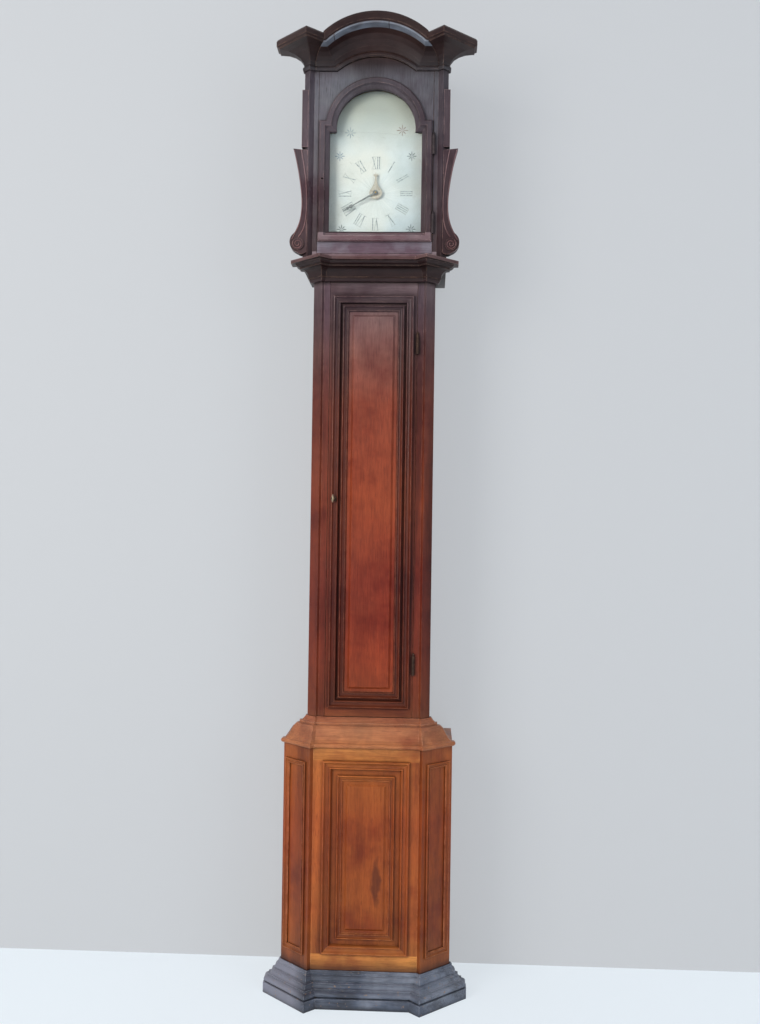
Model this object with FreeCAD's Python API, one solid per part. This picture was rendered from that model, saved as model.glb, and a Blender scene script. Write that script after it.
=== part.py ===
import FreeCAD, Part
import math
import os
from FreeCAD import Vector

# Longcase clock with canted front corners: a broad panelled base on an ebonised plinth, a
# slim trunk with a full-height panelled door, and a hood with an arched cornice.
# Inside are a weight-driven movement with a seconds pendulum, a painted dial and a bell.
# Millimetres. X is to the viewer's right, Y runs back to the wall, Z is up.

# Overall heights of the case, from the floor
floor_clearance = 6.0
plinth_height = 80.0
base_height = 553.0
cap_height = 70.0
trunk_height = 1108.0
waist_height = 53.0
frieze_height = 475.0
cornice_height = 69.0
crown_rise = 54.0

# Plan of each stage: half width of the front, step of the corner tip, width taken by the
# canted corner, depth from the front to the wall, thickness of the boards
base_plan = dict(half=133.0, tip=8.0, cant=74.0, depth=256.0, board=22.0)
trunk_plan = dict(half=128.0, tip=5.0, cant=23.0, depth=211.0, board=20.0)
hood_plan = dict(half=157.0, tip=11.0, cant=14.0, depth=242.0, board=16.0)
plinth_reach = 43.0
waist_reach = 58.0
cornice_reach = 70.0
side_return = 14.0

# Clearances and cutting allowance
run_gap = 0.4
door_gap = 1.2
overrun = 5.0

# Height marks that follow from the sizes above
base_top = plinth_height + base_height
trunk_bottom = base_top + cap_height
trunk_top = trunk_bottom + trunk_height
hood_bottom = trunk_top + waist_height
frieze_bottom = hood_bottom + frieze_height
cornice_top = frieze_bottom + cornice_height
crown_top = cornice_top + crown_rise

# The wall lies behind the origin by half of the whole depth
front_reach = max(
    base_plan["depth"] + base_plan["tip"] + plinth_reach * math.sqrt(2),
    hood_plan["depth"] + hood_plan["tip"] + cornice_reach * math.sqrt(2),
)
wall_y = front_reach / 2

PARTS = "parts"
os.makedirs(PARTS, exist_ok=True)
X_AXIS = Vector(1, 0, 0)
Y_AXIS = Vector(0, 1, 0)
Z_AXIS = Vector(0, 0, 1)


def save(name, *shapes):
    """Write one node: a single solid, or a group of separate solids."""
    solids = [s for shape in shapes for s in shape.Solids]
    shape = solids[0] if len(solids) == 1 else Part.makeCompound(solids)
    shape.exportStep(os.path.join(PARTS, name + ".step"))
    print(f"{name}: {len(solids)} solid(s), {shape.Volume / 1000:.1f} cm3, valid {shape.isValid()}")


def fused(shapes):
    """Join touching shapes into one and drop the seams between coplanar faces."""
    first, *rest = shapes
    return (first.multiFuse(rest) if rest else first).removeSplitter()


class Plane:
    """A drawing plane: a and b lie in it, and w stands out of it."""

    def __init__(self, origin, a, b):
        self.origin, self.a, self.b = origin, a, b
        self.w = a.cross(b)

    def at(self, a, b, w=0.0):
        return self.origin + self.a * a + self.b * b + self.w * w


plan = Plane(Vector(0, 0, 0), X_AXIS, Y_AXIS)


def front_plane(y):
    """Plane seen from the front at depth y: a is to the right, b is up, w comes forward."""
    return Plane(Vector(0, y, 0), X_AXIS, Z_AXIS)


def outline(plane, steps, w=0.0):
    """Closed wire through steps: (a, b) is a line to there, (am, bm, a, b) an arc through am, bm."""
    edges = []
    here = steps[0]
    for step in list(steps[1:]) + [steps[0][-2:]]:
        start, end = plane.at(*here[-2:], w), plane.at(*step[-2:], w)
        if len(step) == 4:
            edges.append(Part.Arc(start, plane.at(*step[:2], w), end).toShape())
        elif start.distanceToPoint(end) > run_gap / 100:
            edges.append(Part.LineSegment(start, end).toShape())
        here = step
    return Part.Wire(edges)


def slab(plane, steps, w0, w1):
    """Solid of an outline between two heights above its plane."""
    face = Part.Face(outline(plane, steps, w0))
    return face.extrude(plane.w * (w1 - w0))


def block(x0, x1, y0, y1, z0, z1):
    return Part.makeBox(x1 - x0, y1 - y0, z1 - z0, Vector(x0, y0, z0))


def rod(radius, start, end):
    """Round bar between two points."""
    along = end - start
    return Part.makeCylinder(radius, along.Length, start, along)


def disc(radius, x, z, y0, y1):
    """Round plate facing the front, between depths y0 and y1."""
    return rod(radius, Vector(x, y0, z), Vector(x, y1, z))


def mirrored(shape):
    """The same piece on the clock's other side."""
    return shape.mirror(Vector(0, 0, 0), X_AXIS)


def corner_offsets(path, closed):
    """At each corner of a path, the move that an outward offset of 1 makes."""
    count = len(path)
    normals = []
    for i in range(count if closed else count - 1):
        (ax, ay), (bx, by) = path[i], path[(i + 1) % count]
        length = math.hypot(bx - ax, by - ay)
        normals.append(((by - ay) / length, -(bx - ax) / length))
    moves = []
    for i in range(count):
        before = normals[i - 1] if closed or i > 0 else normals[0]
        after = normals[i] if i < len(normals) else normals[-1]
        share = 1 + before[0] * after[0] + before[1] * after[1]
        moves.append(((before[0] + after[0]) / share, (before[1] + after[1]) / share))
    return normals, moves


def wedge(plane, path, moves, i, reach, back, low, high):
    """The room of one length of moulding, between the mitre lines at its two ends."""
    j = (i + 1) % len(path)
    corners = [(i, -back), (i, reach), (j, reach), (j, -back)]
    steps = [(path[k][0] + moves[k][0] * out, path[k][1] + moves[k][1] * out) for k, out in corners]
    return slab(plane, steps, low, high)


def mitred(plane, path, profile, closed=False, runs=None):
    """Lengths of moulding along a path, cut to a mitre at each corner.
    The profile's first number stands outward from the path, its second along w."""
    normals, moves = corner_offsets(path, closed)
    outs = [step[i] for step in profile for i in range(0, len(step), 2)]
    heights = [step[i] for step in profile for i in range(1, len(step), 2)]
    reach = max(abs(out) for out in outs) + overrun
    back = max(0.0, -min(outs)) + overrun / 5
    lengths = []
    for i in runs if runs is not None else range(len(normals)):
        start, end, normal = path[i], path[(i + 1) % len(path)], normals[i]
        length = math.hypot(end[0] - start[0], end[1] - start[1])
        along = plane.a * ((end[0] - start[0]) / length) + plane.b * ((end[1] - start[1]) / length)
        lead = 3 * reach
        across = Plane(plane.at(*start) - along * lead, plane.a * normal[0] + plane.b * normal[1], plane.w)
        strip = Part.Face(outline(across, profile)).extrude(along * (length + 2 * lead))
        room = wedge(plane, path, moves, i, reach, back, min(heights) - overrun, max(heights) + overrun)
        lengths.append(strip.common(room))
    return lengths


class Stage:
    """One storey of the case: its outline in plan, from the wall round the front to the wall."""

    def __init__(self, half, tip, cant, depth, board):
        self.half, self.board, self.tip, self.cant = half, board, tip, cant
        self.front = wall_y - depth
        self.inner = (half, self.front)
        self.point = (half + tip, self.front - tip)
        self.side = half + tip + cant
        self.corner = (self.side, self.point[1] + cant)

    def right_half(self):
        return [self.inner, self.point, self.corner, (self.side, wall_y)]

    def path(self):
        right = self.right_half()
        return [(-x, y) for x, y in reversed(right)] + right

    def moulding_path(self):
        """The outline that the mouldings follow: they stop a little way along each side."""
        right = [self.inner, self.point, self.corner, (self.side, self.return_end())]
        return [(-x, y) for x, y in reversed(right)] + right

    def return_end(self):
        return self.corner[1] + side_return

    def behind_returns(self, half, z0, z1):
        """The room behind the ends of the mouldings, out to a half width."""
        return block(-half, half, self.return_end(), wall_y, z0, z1)

    def cant_plane(self, side=1):
        """Plane on the canted corner's outer face: a runs back from the tip, b is up."""
        if side > 0:
            return Plane(Vector(*self.point, 0), Vector(1, 1, 0).normalize(), Z_AXIS)
        start = Vector(-self.corner[0], self.corner[1], 0)
        return Plane(start, Vector(1, -1, 0).normalize(), Z_AXIS)

    def cant_board(self, z0, z1):
        """Right-hand canted board, mitred to the side board at its back edge."""
        t, flat = self.board, self.board / math.sqrt(2)
        inner_corner = (self.side - t, self.corner[1] + t * math.tan(math.pi / 8))
        steps = [self.point, self.corner, inner_corner, (self.point[0] - flat, self.point[1] + flat)]
        return slab(plan, steps, z0, z1)

    def side_board(self, z0, z1, back):
        """Right-hand side board, from the mitre back to depth back."""
        t = self.board
        steps = [self.corner, (self.side, back), (self.side - t, back)]
        steps.append((self.side - t, self.corner[1] + t * math.tan(math.pi / 8)))
        return slab(plan, steps, z0, z1)

    def front_board(self, z0, z1, thick):
        """Front board between the two canted boards."""
        flat = self.board / math.sqrt(2)
        x1, y1 = self.point[0] - flat, self.point[1] + flat
        right = [self.inner, (x1, y1), (x1, self.front + thick)]
        steps = [(-x, y) for x, y in reversed(right)] + right
        return slab(plan, steps, z0, z1)

    def filled(self, z0, z1, grow=0.0):
        """The stage's whole outline as a solid, for cutting and for boards that fill it."""
        _, moves = corner_offsets(self.path(), False)
        steps = [(x + m[0] * grow, y + m[1] * grow) for (x, y), m in zip(self.path(), moves)]
        return slab(plan, steps, z0, z1)


base = Stage(**base_plan)
trunk = Stage(**trunk_plan)
hood = Stage(**hood_plan)


# Base: plinth, boards, panels and the cap moulding

panel_board = 12.0
base_front_thick = 20.0
plinth_foot, plinth_step, plinth_ogee = 27.0, 14.0, 18.0
foot_top = plinth_foot
step_top = foot_top + plinth_step
ogee_top = step_top + plinth_ogee
plinth_profile = [
    (0, 0), (plinth_reach, 0), (plinth_reach, foot_top - 2.0), (plinth_reach - 5.0, foot_top),
    (plinth_reach - 2.0, foot_top + 4.0, plinth_reach - 6.0, step_top - 2.0), (plinth_reach - 12.0, step_top),
    (plinth_reach - 12.0, step_top + 4.0),
    (plinth_reach - 19.0, step_top + 6.0, plinth_reach - 21.0, ogee_top - 4.0), (plinth_reach - 28.0, ogee_top - 2.0),
    (plinth_reach - 28.0, ogee_top + 2.0),
    (plinth_reach - 31.0, ogee_top + 8.0, plinth_reach - 36.0, plinth_height - 9.0),
    (plinth_reach - 36.0, plinth_height - 5.0), (plinth_reach - 40.0, plinth_height), (0, plinth_height),
]
base_panel_half, base_low_rail, base_high_rail = 109.0, 40.0, 32.0
base_panel_low, base_panel_high = plinth_height + base_low_rail, base_top - base_high_rail
cant_panel_front, cant_panel_width = 14.0, 80.0
cant_panel_low, cant_panel_high = base_panel_low - 6.0, base_panel_high - 5.0
back_thick = 14.0
base_floor_thick = 18.0


def rectangle(x0, x1, z0, z1):
    """Corners in the order that puts the outward side of a moulding outside."""
    return [(x0, z0), (x1, z0), (x1, z1), (x0, z1)]


def raised_panel(plane, x0, x1, z0, z1, field, thick, lift, bevel):
    """Panel with a fielded centre: a thin board and a bevelled raised field."""
    board = slab(plane, rectangle(x0, x1, z0, z1), -thick, 0)
    fx0, fx1, fz0, fz1 = field
    low = outline(plane, rectangle(fx0 - bevel, fx1 + bevel, fz0 - bevel, fz1 + bevel), 0)
    high = outline(plane, rectangle(fx0, fx1, fz0, fz1), lift)
    return board.fuse(Part.makeLoft([low, high], True, True)).removeSplitter()


def bolection(width, height, recess, lip):
    """Strip that covers the joint of frame and panel, drawn inward from its outer edge.
    Its shares set a rounded bead, a hollow and a second bead before the drop to the panel."""
    bead, crown, hollow, quirk, step = 0.06, 0.16, 0.42, 0.66, 0.86
    return [
        (0, 0), (0, height * 0.45), (-bead * width, height * 0.92, -crown * width, height),
        (-1.5 * crown * width, height * 0.78),
        (-hollow * width, height * 0.3, -quirk * width, height * 0.22),
        (-(quirk + 0.04) * width, height * 0.46),
        (-0.78 * width, height * 0.54, -step * width, height * 0.34),
        (-width, -recess), (lip - width, -recess), (lip - width, 0),
    ]


def inset(sides, by):
    """A rectangle (x0, x1, z0, z1) drawn in on every side."""
    x0, x1, z0, z1 = sides
    return x0 + by, x1 - by, z0 + by, z1 - by


def strip_frame(plane, sides, profile):
    """Four mitred lengths round a rectangle."""
    return fused(mitred(plane, rectangle(*sides), profile, closed=True))


def panelled(plane, frame, sides, size):
    """Cut a frame for its panel; give the frame, the panel and its two applied mouldings.
    size holds the widths and heights of the mouldings and the inset of the field."""
    lip, groove = size["lip"], size["groove"]
    opening = inset(sides, size["outer"] - lip)
    board = inset(opening, -groove)
    face = -size["recess"]
    slot = slab(plane, rectangle(*inset(board, -run_gap)), face - size["thick"] - run_gap, face + run_gap)
    frame = frame.cut(slab(plane, rectangle(*opening), -frame_cut_depth, overrun)).cut(slot)
    low = Plane(plane.at(0, 0, face), plane.a, plane.b)
    field = inset(sides, size["field"])
    panel = raised_panel(low, *board, field, size["thick"], size["lift"], size["bevel"])
    outer = strip_frame(plane, sides, bolection(size["outer"], size["height"], size["recess"], lip))
    second = inset(sides, size["second_inset"])
    inner = strip_frame(low, second, bolection(size["second"], size["second_height"], 0, 0))
    return frame, panel, outer, inner


frame_cut_depth = 60.0
panel_overlap = dict(lip=5.0, groove=6.0, recess=5.0, thick=9.0, bevel=6.0)
base_panel = dict(
    outer=24.0, height=9.0, second_inset=37.0, second=15.0, second_height=7.0, field=64.0, lift=4.5,
    **panel_overlap,
)
door_panel = dict(
    outer=21.0, height=9.0, second_inset=24.5, second=17.0, second_height=8.0, field=54.0, lift=5.5,
    **panel_overlap,
)

front = front_plane(base.front)
front_board = base.front_board(floor_clearance, base_top, base_front_thick)
base_sides = (-base_panel_half, base_panel_half, base_panel_low, base_panel_high)
base_front_frame, base_front_panel, base_outer, base_inner = panelled(front, front_board, base_sides, base_panel)
save("base_front_frame", base_front_frame)
save("base_front_panel", base_front_panel)
save("base_panel_moulding", base_outer, base_inner)

# Canted corner boards with a sunk panel inside a slim frame of moulding
cant_frame_width, cant_frame_height, cant_sink = 13.0, 5.0, 3.0


def cant_panel(side, board):
    """Sink the panel of one canted board and frame it; a runs back from the tip on the right."""
    plane = base.cant_plane(side)
    length = base.cant * math.sqrt(2)
    start = cant_panel_front if side > 0 else length - cant_panel_front - cant_panel_width
    sides = (start, start + cant_panel_width, cant_panel_low, cant_panel_high)
    sunk = inset(sides, cant_frame_width)
    board = board.cut(slab(plane, rectangle(*sunk), -cant_sink, overrun))
    frame = strip_frame(plane, sides, bolection(cant_frame_width, cant_frame_height, 0, 0))
    return board, frame


cant_blank = base.cant_board(floor_clearance, base_top)
right_cant, right_cant_frame = cant_panel(1, cant_blank)
left_cant, left_cant_frame = cant_panel(-1, mirrored(cant_blank))
save("base_canted_boards", right_cant, left_cant)
save("base_canted_mouldings", right_cant_frame, left_cant_frame)

base_side = base.side_board(0, base_top, wall_y)
save("base_sides", base_side, mirrored(base_side))

plinth_runs = mitred(plan, base.moulding_path(), plinth_profile)
save("plinth", plinth_runs[3], fused(plinth_runs[:3]), fused(plinth_runs[4:]))

# Floor of the base, fitted inside its boards
base_floor_low = floor_clearance + 20.0
inside = base.filled(base_floor_low, base_floor_low + base_floor_thick, -base.board - run_gap)
inside = inside.common(block(-base.side, base.side, base.front + base_front_thick, wall_y - back_thick, 0, base_top))
save("base_floor", inside.cut(right_cant).cut(left_cant))

# Cap moulding: a nosing, a swept ogee and a cavetto that carry the base in to the trunk
cap_overhang = 8.0
nosing_height, fillet_height, cavetto_height = 10.0, 6.0, 13.0
nosing_share, fillet_share, cavetto_share, lip_share = 0.05, 0.70, 0.78, 0.94
ogee_levels = 6


def between(share, z):
    """Outline part-way from the base's overhang (0) to the trunk (1) at height z."""
    outer = [(x + m[0] * cap_overhang, y + m[1] * cap_overhang)
             for (x, y), m in zip(base.path(), corner_offsets(base.path(), False)[1])]
    outer[0], outer[-1] = (outer[0][0], wall_y), (outer[-1][0], wall_y)
    steps = [(ax + (bx - ax) * share, ay + (by - ay) * share)
             for (ax, ay), (bx, by) in zip(outer, trunk.path())]
    return outline(plan, steps, z)


def cap_marks():
    """Share and height of each level of the cap, from the nosing to the trunk."""
    ogee_low, ogee_high = base_top + nosing_height, trunk_bottom - cavetto_height - fillet_height
    marks = [(nosing_share, base_top), (0, base_top + nosing_height / 3)]
    marks += [(0, base_top + nosing_height * 2 / 3), (nosing_share, ogee_low)]
    for i in range(1, ogee_levels + 1):
        turn = i / ogee_levels
        climb = turn - math.sin(2 * math.pi * turn) / (2 * math.pi)
        marks.append((nosing_share + (fillet_share - nosing_share) * turn, ogee_low + (ogee_high - ogee_low) * climb))
    marks.append((fillet_share, ogee_high + fillet_height))
    marks.append((cavetto_share, ogee_high + fillet_height))
    marks.append(((cavetto_share + lip_share) / 2, trunk_bottom - cavetto_height * 0.6))
    return marks + [(lip_share, trunk_bottom)]


cap_levels = []
for (share, z), (next_share, next_z) in zip(cap_marks(), cap_marks()[1:]):
    if next_z - z > run_gap:
        cap_levels.append(Part.makeLoft([between(share, z), between(next_share, next_z)], True, True))
shoulder_thick = 9.0
trunk_room = trunk.filled(base_top - overrun, trunk_bottom + overrun)
cap_half = base.side + cap_overhang + overrun
cap_ring = fused(cap_levels).cut(trunk_room).cut(base.behind_returns(cap_half, base_top - overrun, trunk_bottom + overrun))
shoulders = base.filled(base_top, base_top + shoulder_thick).cut(trunk_room)
shoulders = shoulders.common(base.behind_returns(cap_half, base_top - overrun, trunk_bottom + overrun))
save("cap_moulding", fused([cap_ring, *shoulders.Solids]))

# Trunk: canted boards and sides, a front of two slim stiles and two rails, and the door
door_half = 112.0
door_thick = 20.0
trunk_low = base_top
cheek_height = 67.0
trunk_cant = trunk.cant_board(trunk_low, hood_bottom)
save("trunk_canted_boards", trunk_cant, mirrored(trunk_cant))
trunk_side = trunk.side_board(trunk_low, hood_bottom, wall_y)
save("trunk_sides", trunk_side, mirrored(trunk_side))
doorway = block(-door_half, door_half, trunk.front - overrun, trunk.front + door_thick + overrun, trunk_bottom, trunk_top)
save("trunk_front_frame", trunk.front_board(trunk_low, hood_bottom, door_thick).cut(doorway))

# Waist moulding that carries the hood
waist_profile = [
    (0, 0), (6.0, 0), (10.0, 4.0, 11.0, 9.0), (14.0, 10.0), (14.0, 13.0),
    (18.0, 25.0, 33.0, 33.0), (36.0, 33.0), (36.0, 37.0), (42.0, 39.0, 47.0, 45.0),
    (waist_reach, 45.0), (waist_reach, waist_height), (0, waist_height),
]
waist_runs = [w.translated(Vector(0, 0, trunk_top)) for w in mitred(plan, trunk.moulding_path(), waist_profile)]
runner_height = 22.0
runner = block(trunk.side, hood.side, trunk.return_end(), wall_y, hood_bottom - runner_height, hood_bottom)
save("waist_moulding", waist_runs[3], fused([*waist_runs[:3], mirrored(runner)]), fused([*waist_runs[4:], runner]))

# Backboard in three widths, one board with glued ears
back_half = {"base": base.side - base.board, "trunk": trunk.side - trunk.board, "hood": hood.side - hood.board - 4.0}
back_steps = [
    (back_half["base"], floor_clearance), (back_half["base"], base_top), (back_half["trunk"], base_top),
    (back_half["trunk"], hood_bottom), (back_half["hood"], hood_bottom), (back_half["hood"], cornice_top - 30.0),
]
back_steps = back_steps + [(-x, z) for x, z in reversed(back_steps)]
save("backboard", slab(front_plane(wall_y), back_steps, 0, back_thick))

# Trunk door
trunk_face = front_plane(trunk.front)
door_edges = inset((-door_half, door_half, trunk_bottom, trunk_top), door_gap)
door_blank = slab(trunk_face, rectangle(*door_edges), -door_thick, 0)
door_ring_half, door_low_rail, door_high_rail = 103.0, 23.0, 35.0
door_panel_sides = (-door_ring_half, door_ring_half, trunk_bottom + door_low_rail, trunk_top - door_high_rail)
trunk_door_frame, trunk_door_panel, door_outer, door_inner = panelled(trunk_face, door_blank, door_panel_sides, door_panel)

# Hinges: a fixed and a moving knuckle on one pin, with a flat leaf let into the stile
knuckle_radius, knuckle_length, pin_radius, finial = 4.0, 24.0, 2.0, 5.0


def hinge(axis_x, axis_y, z, door_side):
    """One pair of knuckles round a pin: the fixed one below carries the pin, the door's is above."""
    foot, top = Vector(axis_x, axis_y, z - knuckle_length), Vector(axis_x, axis_y, z)
    fixed = rod(knuckle_radius, foot, top - Z_AXIS * run_gap / 2)
    pin = rod(pin_radius, foot, top + Z_AXIS * (knuckle_length + finial))
    ball = Part.makeSphere(pin_radius * 1.5, top + Z_AXIS * (knuckle_length + finial))
    moving = rod(knuckle_radius, top + Z_AXIS * run_gap / 2, top + Z_AXIS * knuckle_length)
    moving = moving.cut(rod(pin_radius + run_gap / 8, foot, top + Z_AXIS * (knuckle_length + overrun)))
    leaf_y = axis_y + knuckle_radius
    return fixed.fuse(pin).fuse(ball), moving, leaf_y


trunk_axis = (door_half + door_gap / 2, trunk.front - knuckle_radius)
trunk_hinge_heights = (trunk_bottom + 133.0, trunk_top - 160.0)
fixed_sets, moving_sets = [], []
for z in trunk_hinge_heights:
    fixed, moving, leaf_y = hinge(*trunk_axis, z, -1)
    fixed_sets.append(fixed)
    moving_sets.append(moving)
save("trunk_hinge_pins", *fixed_sets)

trunk_knuckles = moving_sets

# Lock on the door's left stile: a box behind it, a key through it and a bolt
lock_x, lock_z = -95.0, trunk_bottom + trunk_height / 2
lock_width, lock_height, lock_depth = 34.0, 60.0, 14.0
bolt_height, bolt_thick, bolt_reach = 14.0, 6.0, 12.0
key_radius, key_hole_gap = 2.6, 0.3
lock_y = trunk.front + door_thick
key_out, lock_wall, key_room_wall, bolt_rise = 24.0, 3.0, 2.0, 8.0
key_front = trunk.front - key_out
bolt_y0 = lock_y + run_gap
lock_x0 = -door_half + door_gap
lock_case = block(lock_x0, lock_x0 + lock_width, lock_y, lock_y + lock_depth, lock_z - lock_height / 2, lock_z + lock_height / 2)
bolt_room = block(lock_x0 - overrun, lock_x0 + lock_width - lock_wall, lock_y - overrun, bolt_y0 + bolt_thick + run_gap,
                  lock_z + bolt_rise - run_gap, lock_z + bolt_rise + bolt_height + run_gap)
key_room = disc(key_radius + key_hole_gap, lock_x, lock_z, lock_y - overrun, lock_y + lock_depth - key_room_wall)
lock_case = lock_case.cut(bolt_room).cut(key_room)
bolt = block(lock_x0 + door_gap, lock_x0 + lock_width - bolt_reach, bolt_y0, bolt_y0 + bolt_thick,
             lock_z + bolt_rise, lock_z + bolt_rise + bolt_height)
key_shank = disc(key_radius, lock_x, lock_z, key_front, lock_y + lock_depth - lock_wall)
bow_outer, bow_inner, bow_thick = 11.0, 6.5, 3.6
bow_centre = Vector(lock_x, key_front + bow_thick / 2 - bow_outer, lock_z)
bow = Part.makeTorus((bow_outer + bow_inner) / 2, bow_thick / 2, bow_centre, X_AXIS)
key = key_shank.fuse(bow)
bush_radius, bush_proud = 7.0, 11.0
bush_room = disc(bush_radius, lock_x, lock_z, trunk.front - bush_proud, trunk.front + door_thick)
key_way = disc(key_radius + key_hole_gap, lock_x, lock_z, trunk.front - bush_proud - overrun, lock_y + overrun)
trunk_door_frame = trunk_door_frame.cut(key_way)
trunk_door_panel = trunk_door_panel.cut(key_way)
door_outer = door_outer.cut(bush_room)
bush = disc(bush_radius, lock_x, lock_z, trunk.front - bush_proud, trunk.front).cut(key_way)
save("trunk_door_frame", trunk_door_frame)
save("trunk_door_panel", trunk_door_panel)
save("trunk_door_moulding", door_outer, door_inner)
save("trunk_door_fittings", bush, lock_case, *trunk_knuckles)
save("trunk_lock_bolt", bolt)
save("trunk_key", key)

# Hood: canted boards, sides, front posts with a sill, and a frieze board with an arched foot
door_arch_half, door_arch_rise = 99.0, 36.0
crown_half = 134.0
hood_door_half = 146.0
sill_height = 12.0
hood_front_thick = 20.0
top_seat = 4.0
hood_sides_top = cornice_top - top_seat
hood_face = front_plane(hood.front)
hood_cant = hood.cant_board(hood_bottom, hood_sides_top)
save("hood_canted_boards", hood_cant, mirrored(hood_cant))
hood_side = hood.side_board(hood_bottom, hood_sides_top, wall_y)
save("hood_sides", hood_side, mirrored(hood_side))


def arched(reach_x, z, half, rise):
    """A flat line with an arch in its middle, from left to right."""
    return [(-reach_x, z), (-half, z), (0, z + rise, half, z), (reach_x, z)]


def backwards(steps):
    """The same line from right to left."""
    turned = [steps[-1][-2:]]
    for i in range(len(steps) - 1, 0, -1):
        mid = steps[i][:2] if len(steps[i]) == 4 else ()
        turned.append((*mid, *steps[i - 1][-2:]))
    return turned


def arched_band(lower, upper):
    """Outline between two arched lines."""
    return lower + backwards(upper)


doorway_steps = [(-hood_door_half, hood_bottom + sill_height)] + arched(hood_door_half, frieze_bottom, door_arch_half, door_arch_rise)
doorway_steps = doorway_steps + [(hood_door_half, hood_bottom + sill_height)]
hood_doorway = slab(hood_face, doorway_steps, -frame_cut_depth, frame_cut_depth)
posts = hood.front_board(hood_bottom, frieze_bottom, hood_front_thick).cut(hood_doorway)
save("hood_front_frame", posts)
frieze_band = arched_band(
    arched(hood.side, frieze_bottom, door_arch_half, door_arch_rise), arched(hood.side, hood_sides_top, crown_half, crown_rise))
frieze = hood.front_board(frieze_bottom, crown_top, hood_front_thick).common(
    slab(hood_face, frieze_band, -frame_cut_depth, frame_cut_depth))
save("hood_frieze", frieze)

# Bonnet: the arched top boards behind the cornice
bonnet_thick = 5.0
bonnet_lower = arched(hood.side, hood_sides_top, crown_half, crown_rise)
bonnet_upper = arched(hood.side, hood_sides_top + bonnet_thick, crown_half, crown_rise)
bonnet = slab(front_plane(wall_y), arched_band(bonnet_lower, bonnet_upper), 0, hood_plan["depth"])
bonnet = bonnet.common(hood.filled(hood_sides_top - overrun, crown_top + overrun))
rail_high = 26.0
back_rail = slab(front_plane(wall_y), [(-hood.side + hood.board, hood_sides_top - rail_high), (hood.side - hood.board, hood_sides_top - rail_high), *backwards(arched(hood.side - hood.board, hood_sides_top, crown_half, crown_rise))], 0, back_thick)
save("hood_bonnet", bonnet, back_rail)

# Cornice: an astragal, a deep cove, a fillet and a fascia; the front length is arched
astragal_reach, astragal_height = 6.0, 11.0
cove_start, cove_reach, cove_top = 2.0, 59.0, 47.0
fascia_low = 50.0
cove_steps = 5
cove = [(cove_start + (cove_reach - cove_start) * (1 - math.cos(math.radians(90 * i / cove_steps))),
         astragal_height + (cove_top - astragal_height) * math.sin(math.radians(90 * i / cove_steps)))
        for i in range(cove_steps + 1)]
cornice_profile = [
    (0, 0), (astragal_reach * 0.6, 0), (astragal_reach, astragal_height / 2, astragal_reach * 0.6, astragal_height),
    *cove, (cornice_reach - 6.0, cove_top), (cornice_reach - 6.0, fascia_low), (cornice_reach, fascia_low + 3.0),
    (cornice_reach, cornice_height - 5.0), (cornice_reach - 3.0, cornice_height), (0, cornice_height),
]
cornice_runs = [c.translated(Vector(0, 0, frieze_bottom)) for c in mitred(plan, hood.moulding_path(), cornice_profile)]
save("cornice_returns", fused(cornice_runs[:3]), fused(cornice_runs[4:]))


def cornice_line(height):
    """Arched line of the front cornice at a height above the frieze's foot."""
    share = height / cornice_height
    half = door_arch_half + (crown_half - door_arch_half) * share
    rise = door_arch_rise + (crown_rise - door_arch_rise) * share
    return arched(hood.side + cornice_reach, frieze_bottom + height, half, rise)


def cornice_layer(sections):
    """Solid through bands at successive reaches: (reach, low height, high height)."""
    wires = [outline(hood_face, arched_band(cornice_line(low), cornice_line(high)), out) for out, low, high in sections]
    return Part.makeLoft(wires, True, True)


bead_out = astragal_reach
front_layers = [
    cornice_layer([(0, 0, astragal_height), (bead_out * 0.6, 0, astragal_height), (bead_out, astragal_height * 0.3, astragal_height * 0.7)]),
    cornice_layer([(0, astragal_height, fascia_low)] + [(out, high, fascia_low) for out, high in cove] + [(cornice_reach - 6.0, cove_top, fascia_low)]),
    cornice_layer([(0, fascia_low, cornice_height), (cornice_reach - 6.0, fascia_low, cornice_height), (cornice_reach - 3.0, fascia_low + 1.5, cornice_height), (cornice_reach, fascia_low + 3.0, cornice_height - 5.0)]),
]
_, hood_moves = corner_offsets(hood.path(), False)
front_room = wedge(plan, hood.path(), hood_moves, 3, cornice_reach + overrun, 1.0, frieze_bottom - overrun, crown_top + overrun)
cornice_front = fused([layer.common(front_room) for layer in front_layers])
save("cornice_front", cornice_front)

# Side strips and scrolled consoles on the canted corners
strip_foot, strip_head, face_back, volute_proud = 280.0, 425.0, 3.0, 4.0
strip_reach, strip_low, strip_high = 5.0, hood_bottom + strip_foot, hood_bottom + strip_head
side_face_y = hood.point[1] + face_back
strip_depth = 30.0
hood_room = hood.filled(hood_bottom - overrun, crown_top + overrun)
strip = slab(front_plane(side_face_y), rectangle(hood.point[0], hood.side + strip_reach, strip_low, strip_high), -strip_depth, 0)
strip = strip.cut(hood_room)
save("hood_side_strips", strip, mirrored(strip))
console_depth = 26.0
root_x = hood.point[0]
console_steps = [
    (root_x, 27.0), (root_x, 272.0), (208.0, 276.0), (192.5, 214.0, 185.0, 147.0),
    (187.0, 94.0, 203.0, 62.0), (213.5, 34.0, 194.0, 13.0), (178.0, 10.0, root_x, 27.0),
]
volute_x, volute_height, volute_radius = 193.0, 34.0, 15.0
console_plane = Plane(Vector(0, side_face_y, hood_bottom), X_AXIS, Z_AXIS)
console = slab(console_plane, console_steps, -console_depth, 0).cut(hood_room)
volute = disc(volute_radius, volute_x, hood_bottom + volute_height, side_face_y - volute_proud, side_face_y + overrun).cut(hood_room)
console = console.fuse(volute).removeSplitter()
save("hood_consoles", console, mirrored(console))

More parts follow.
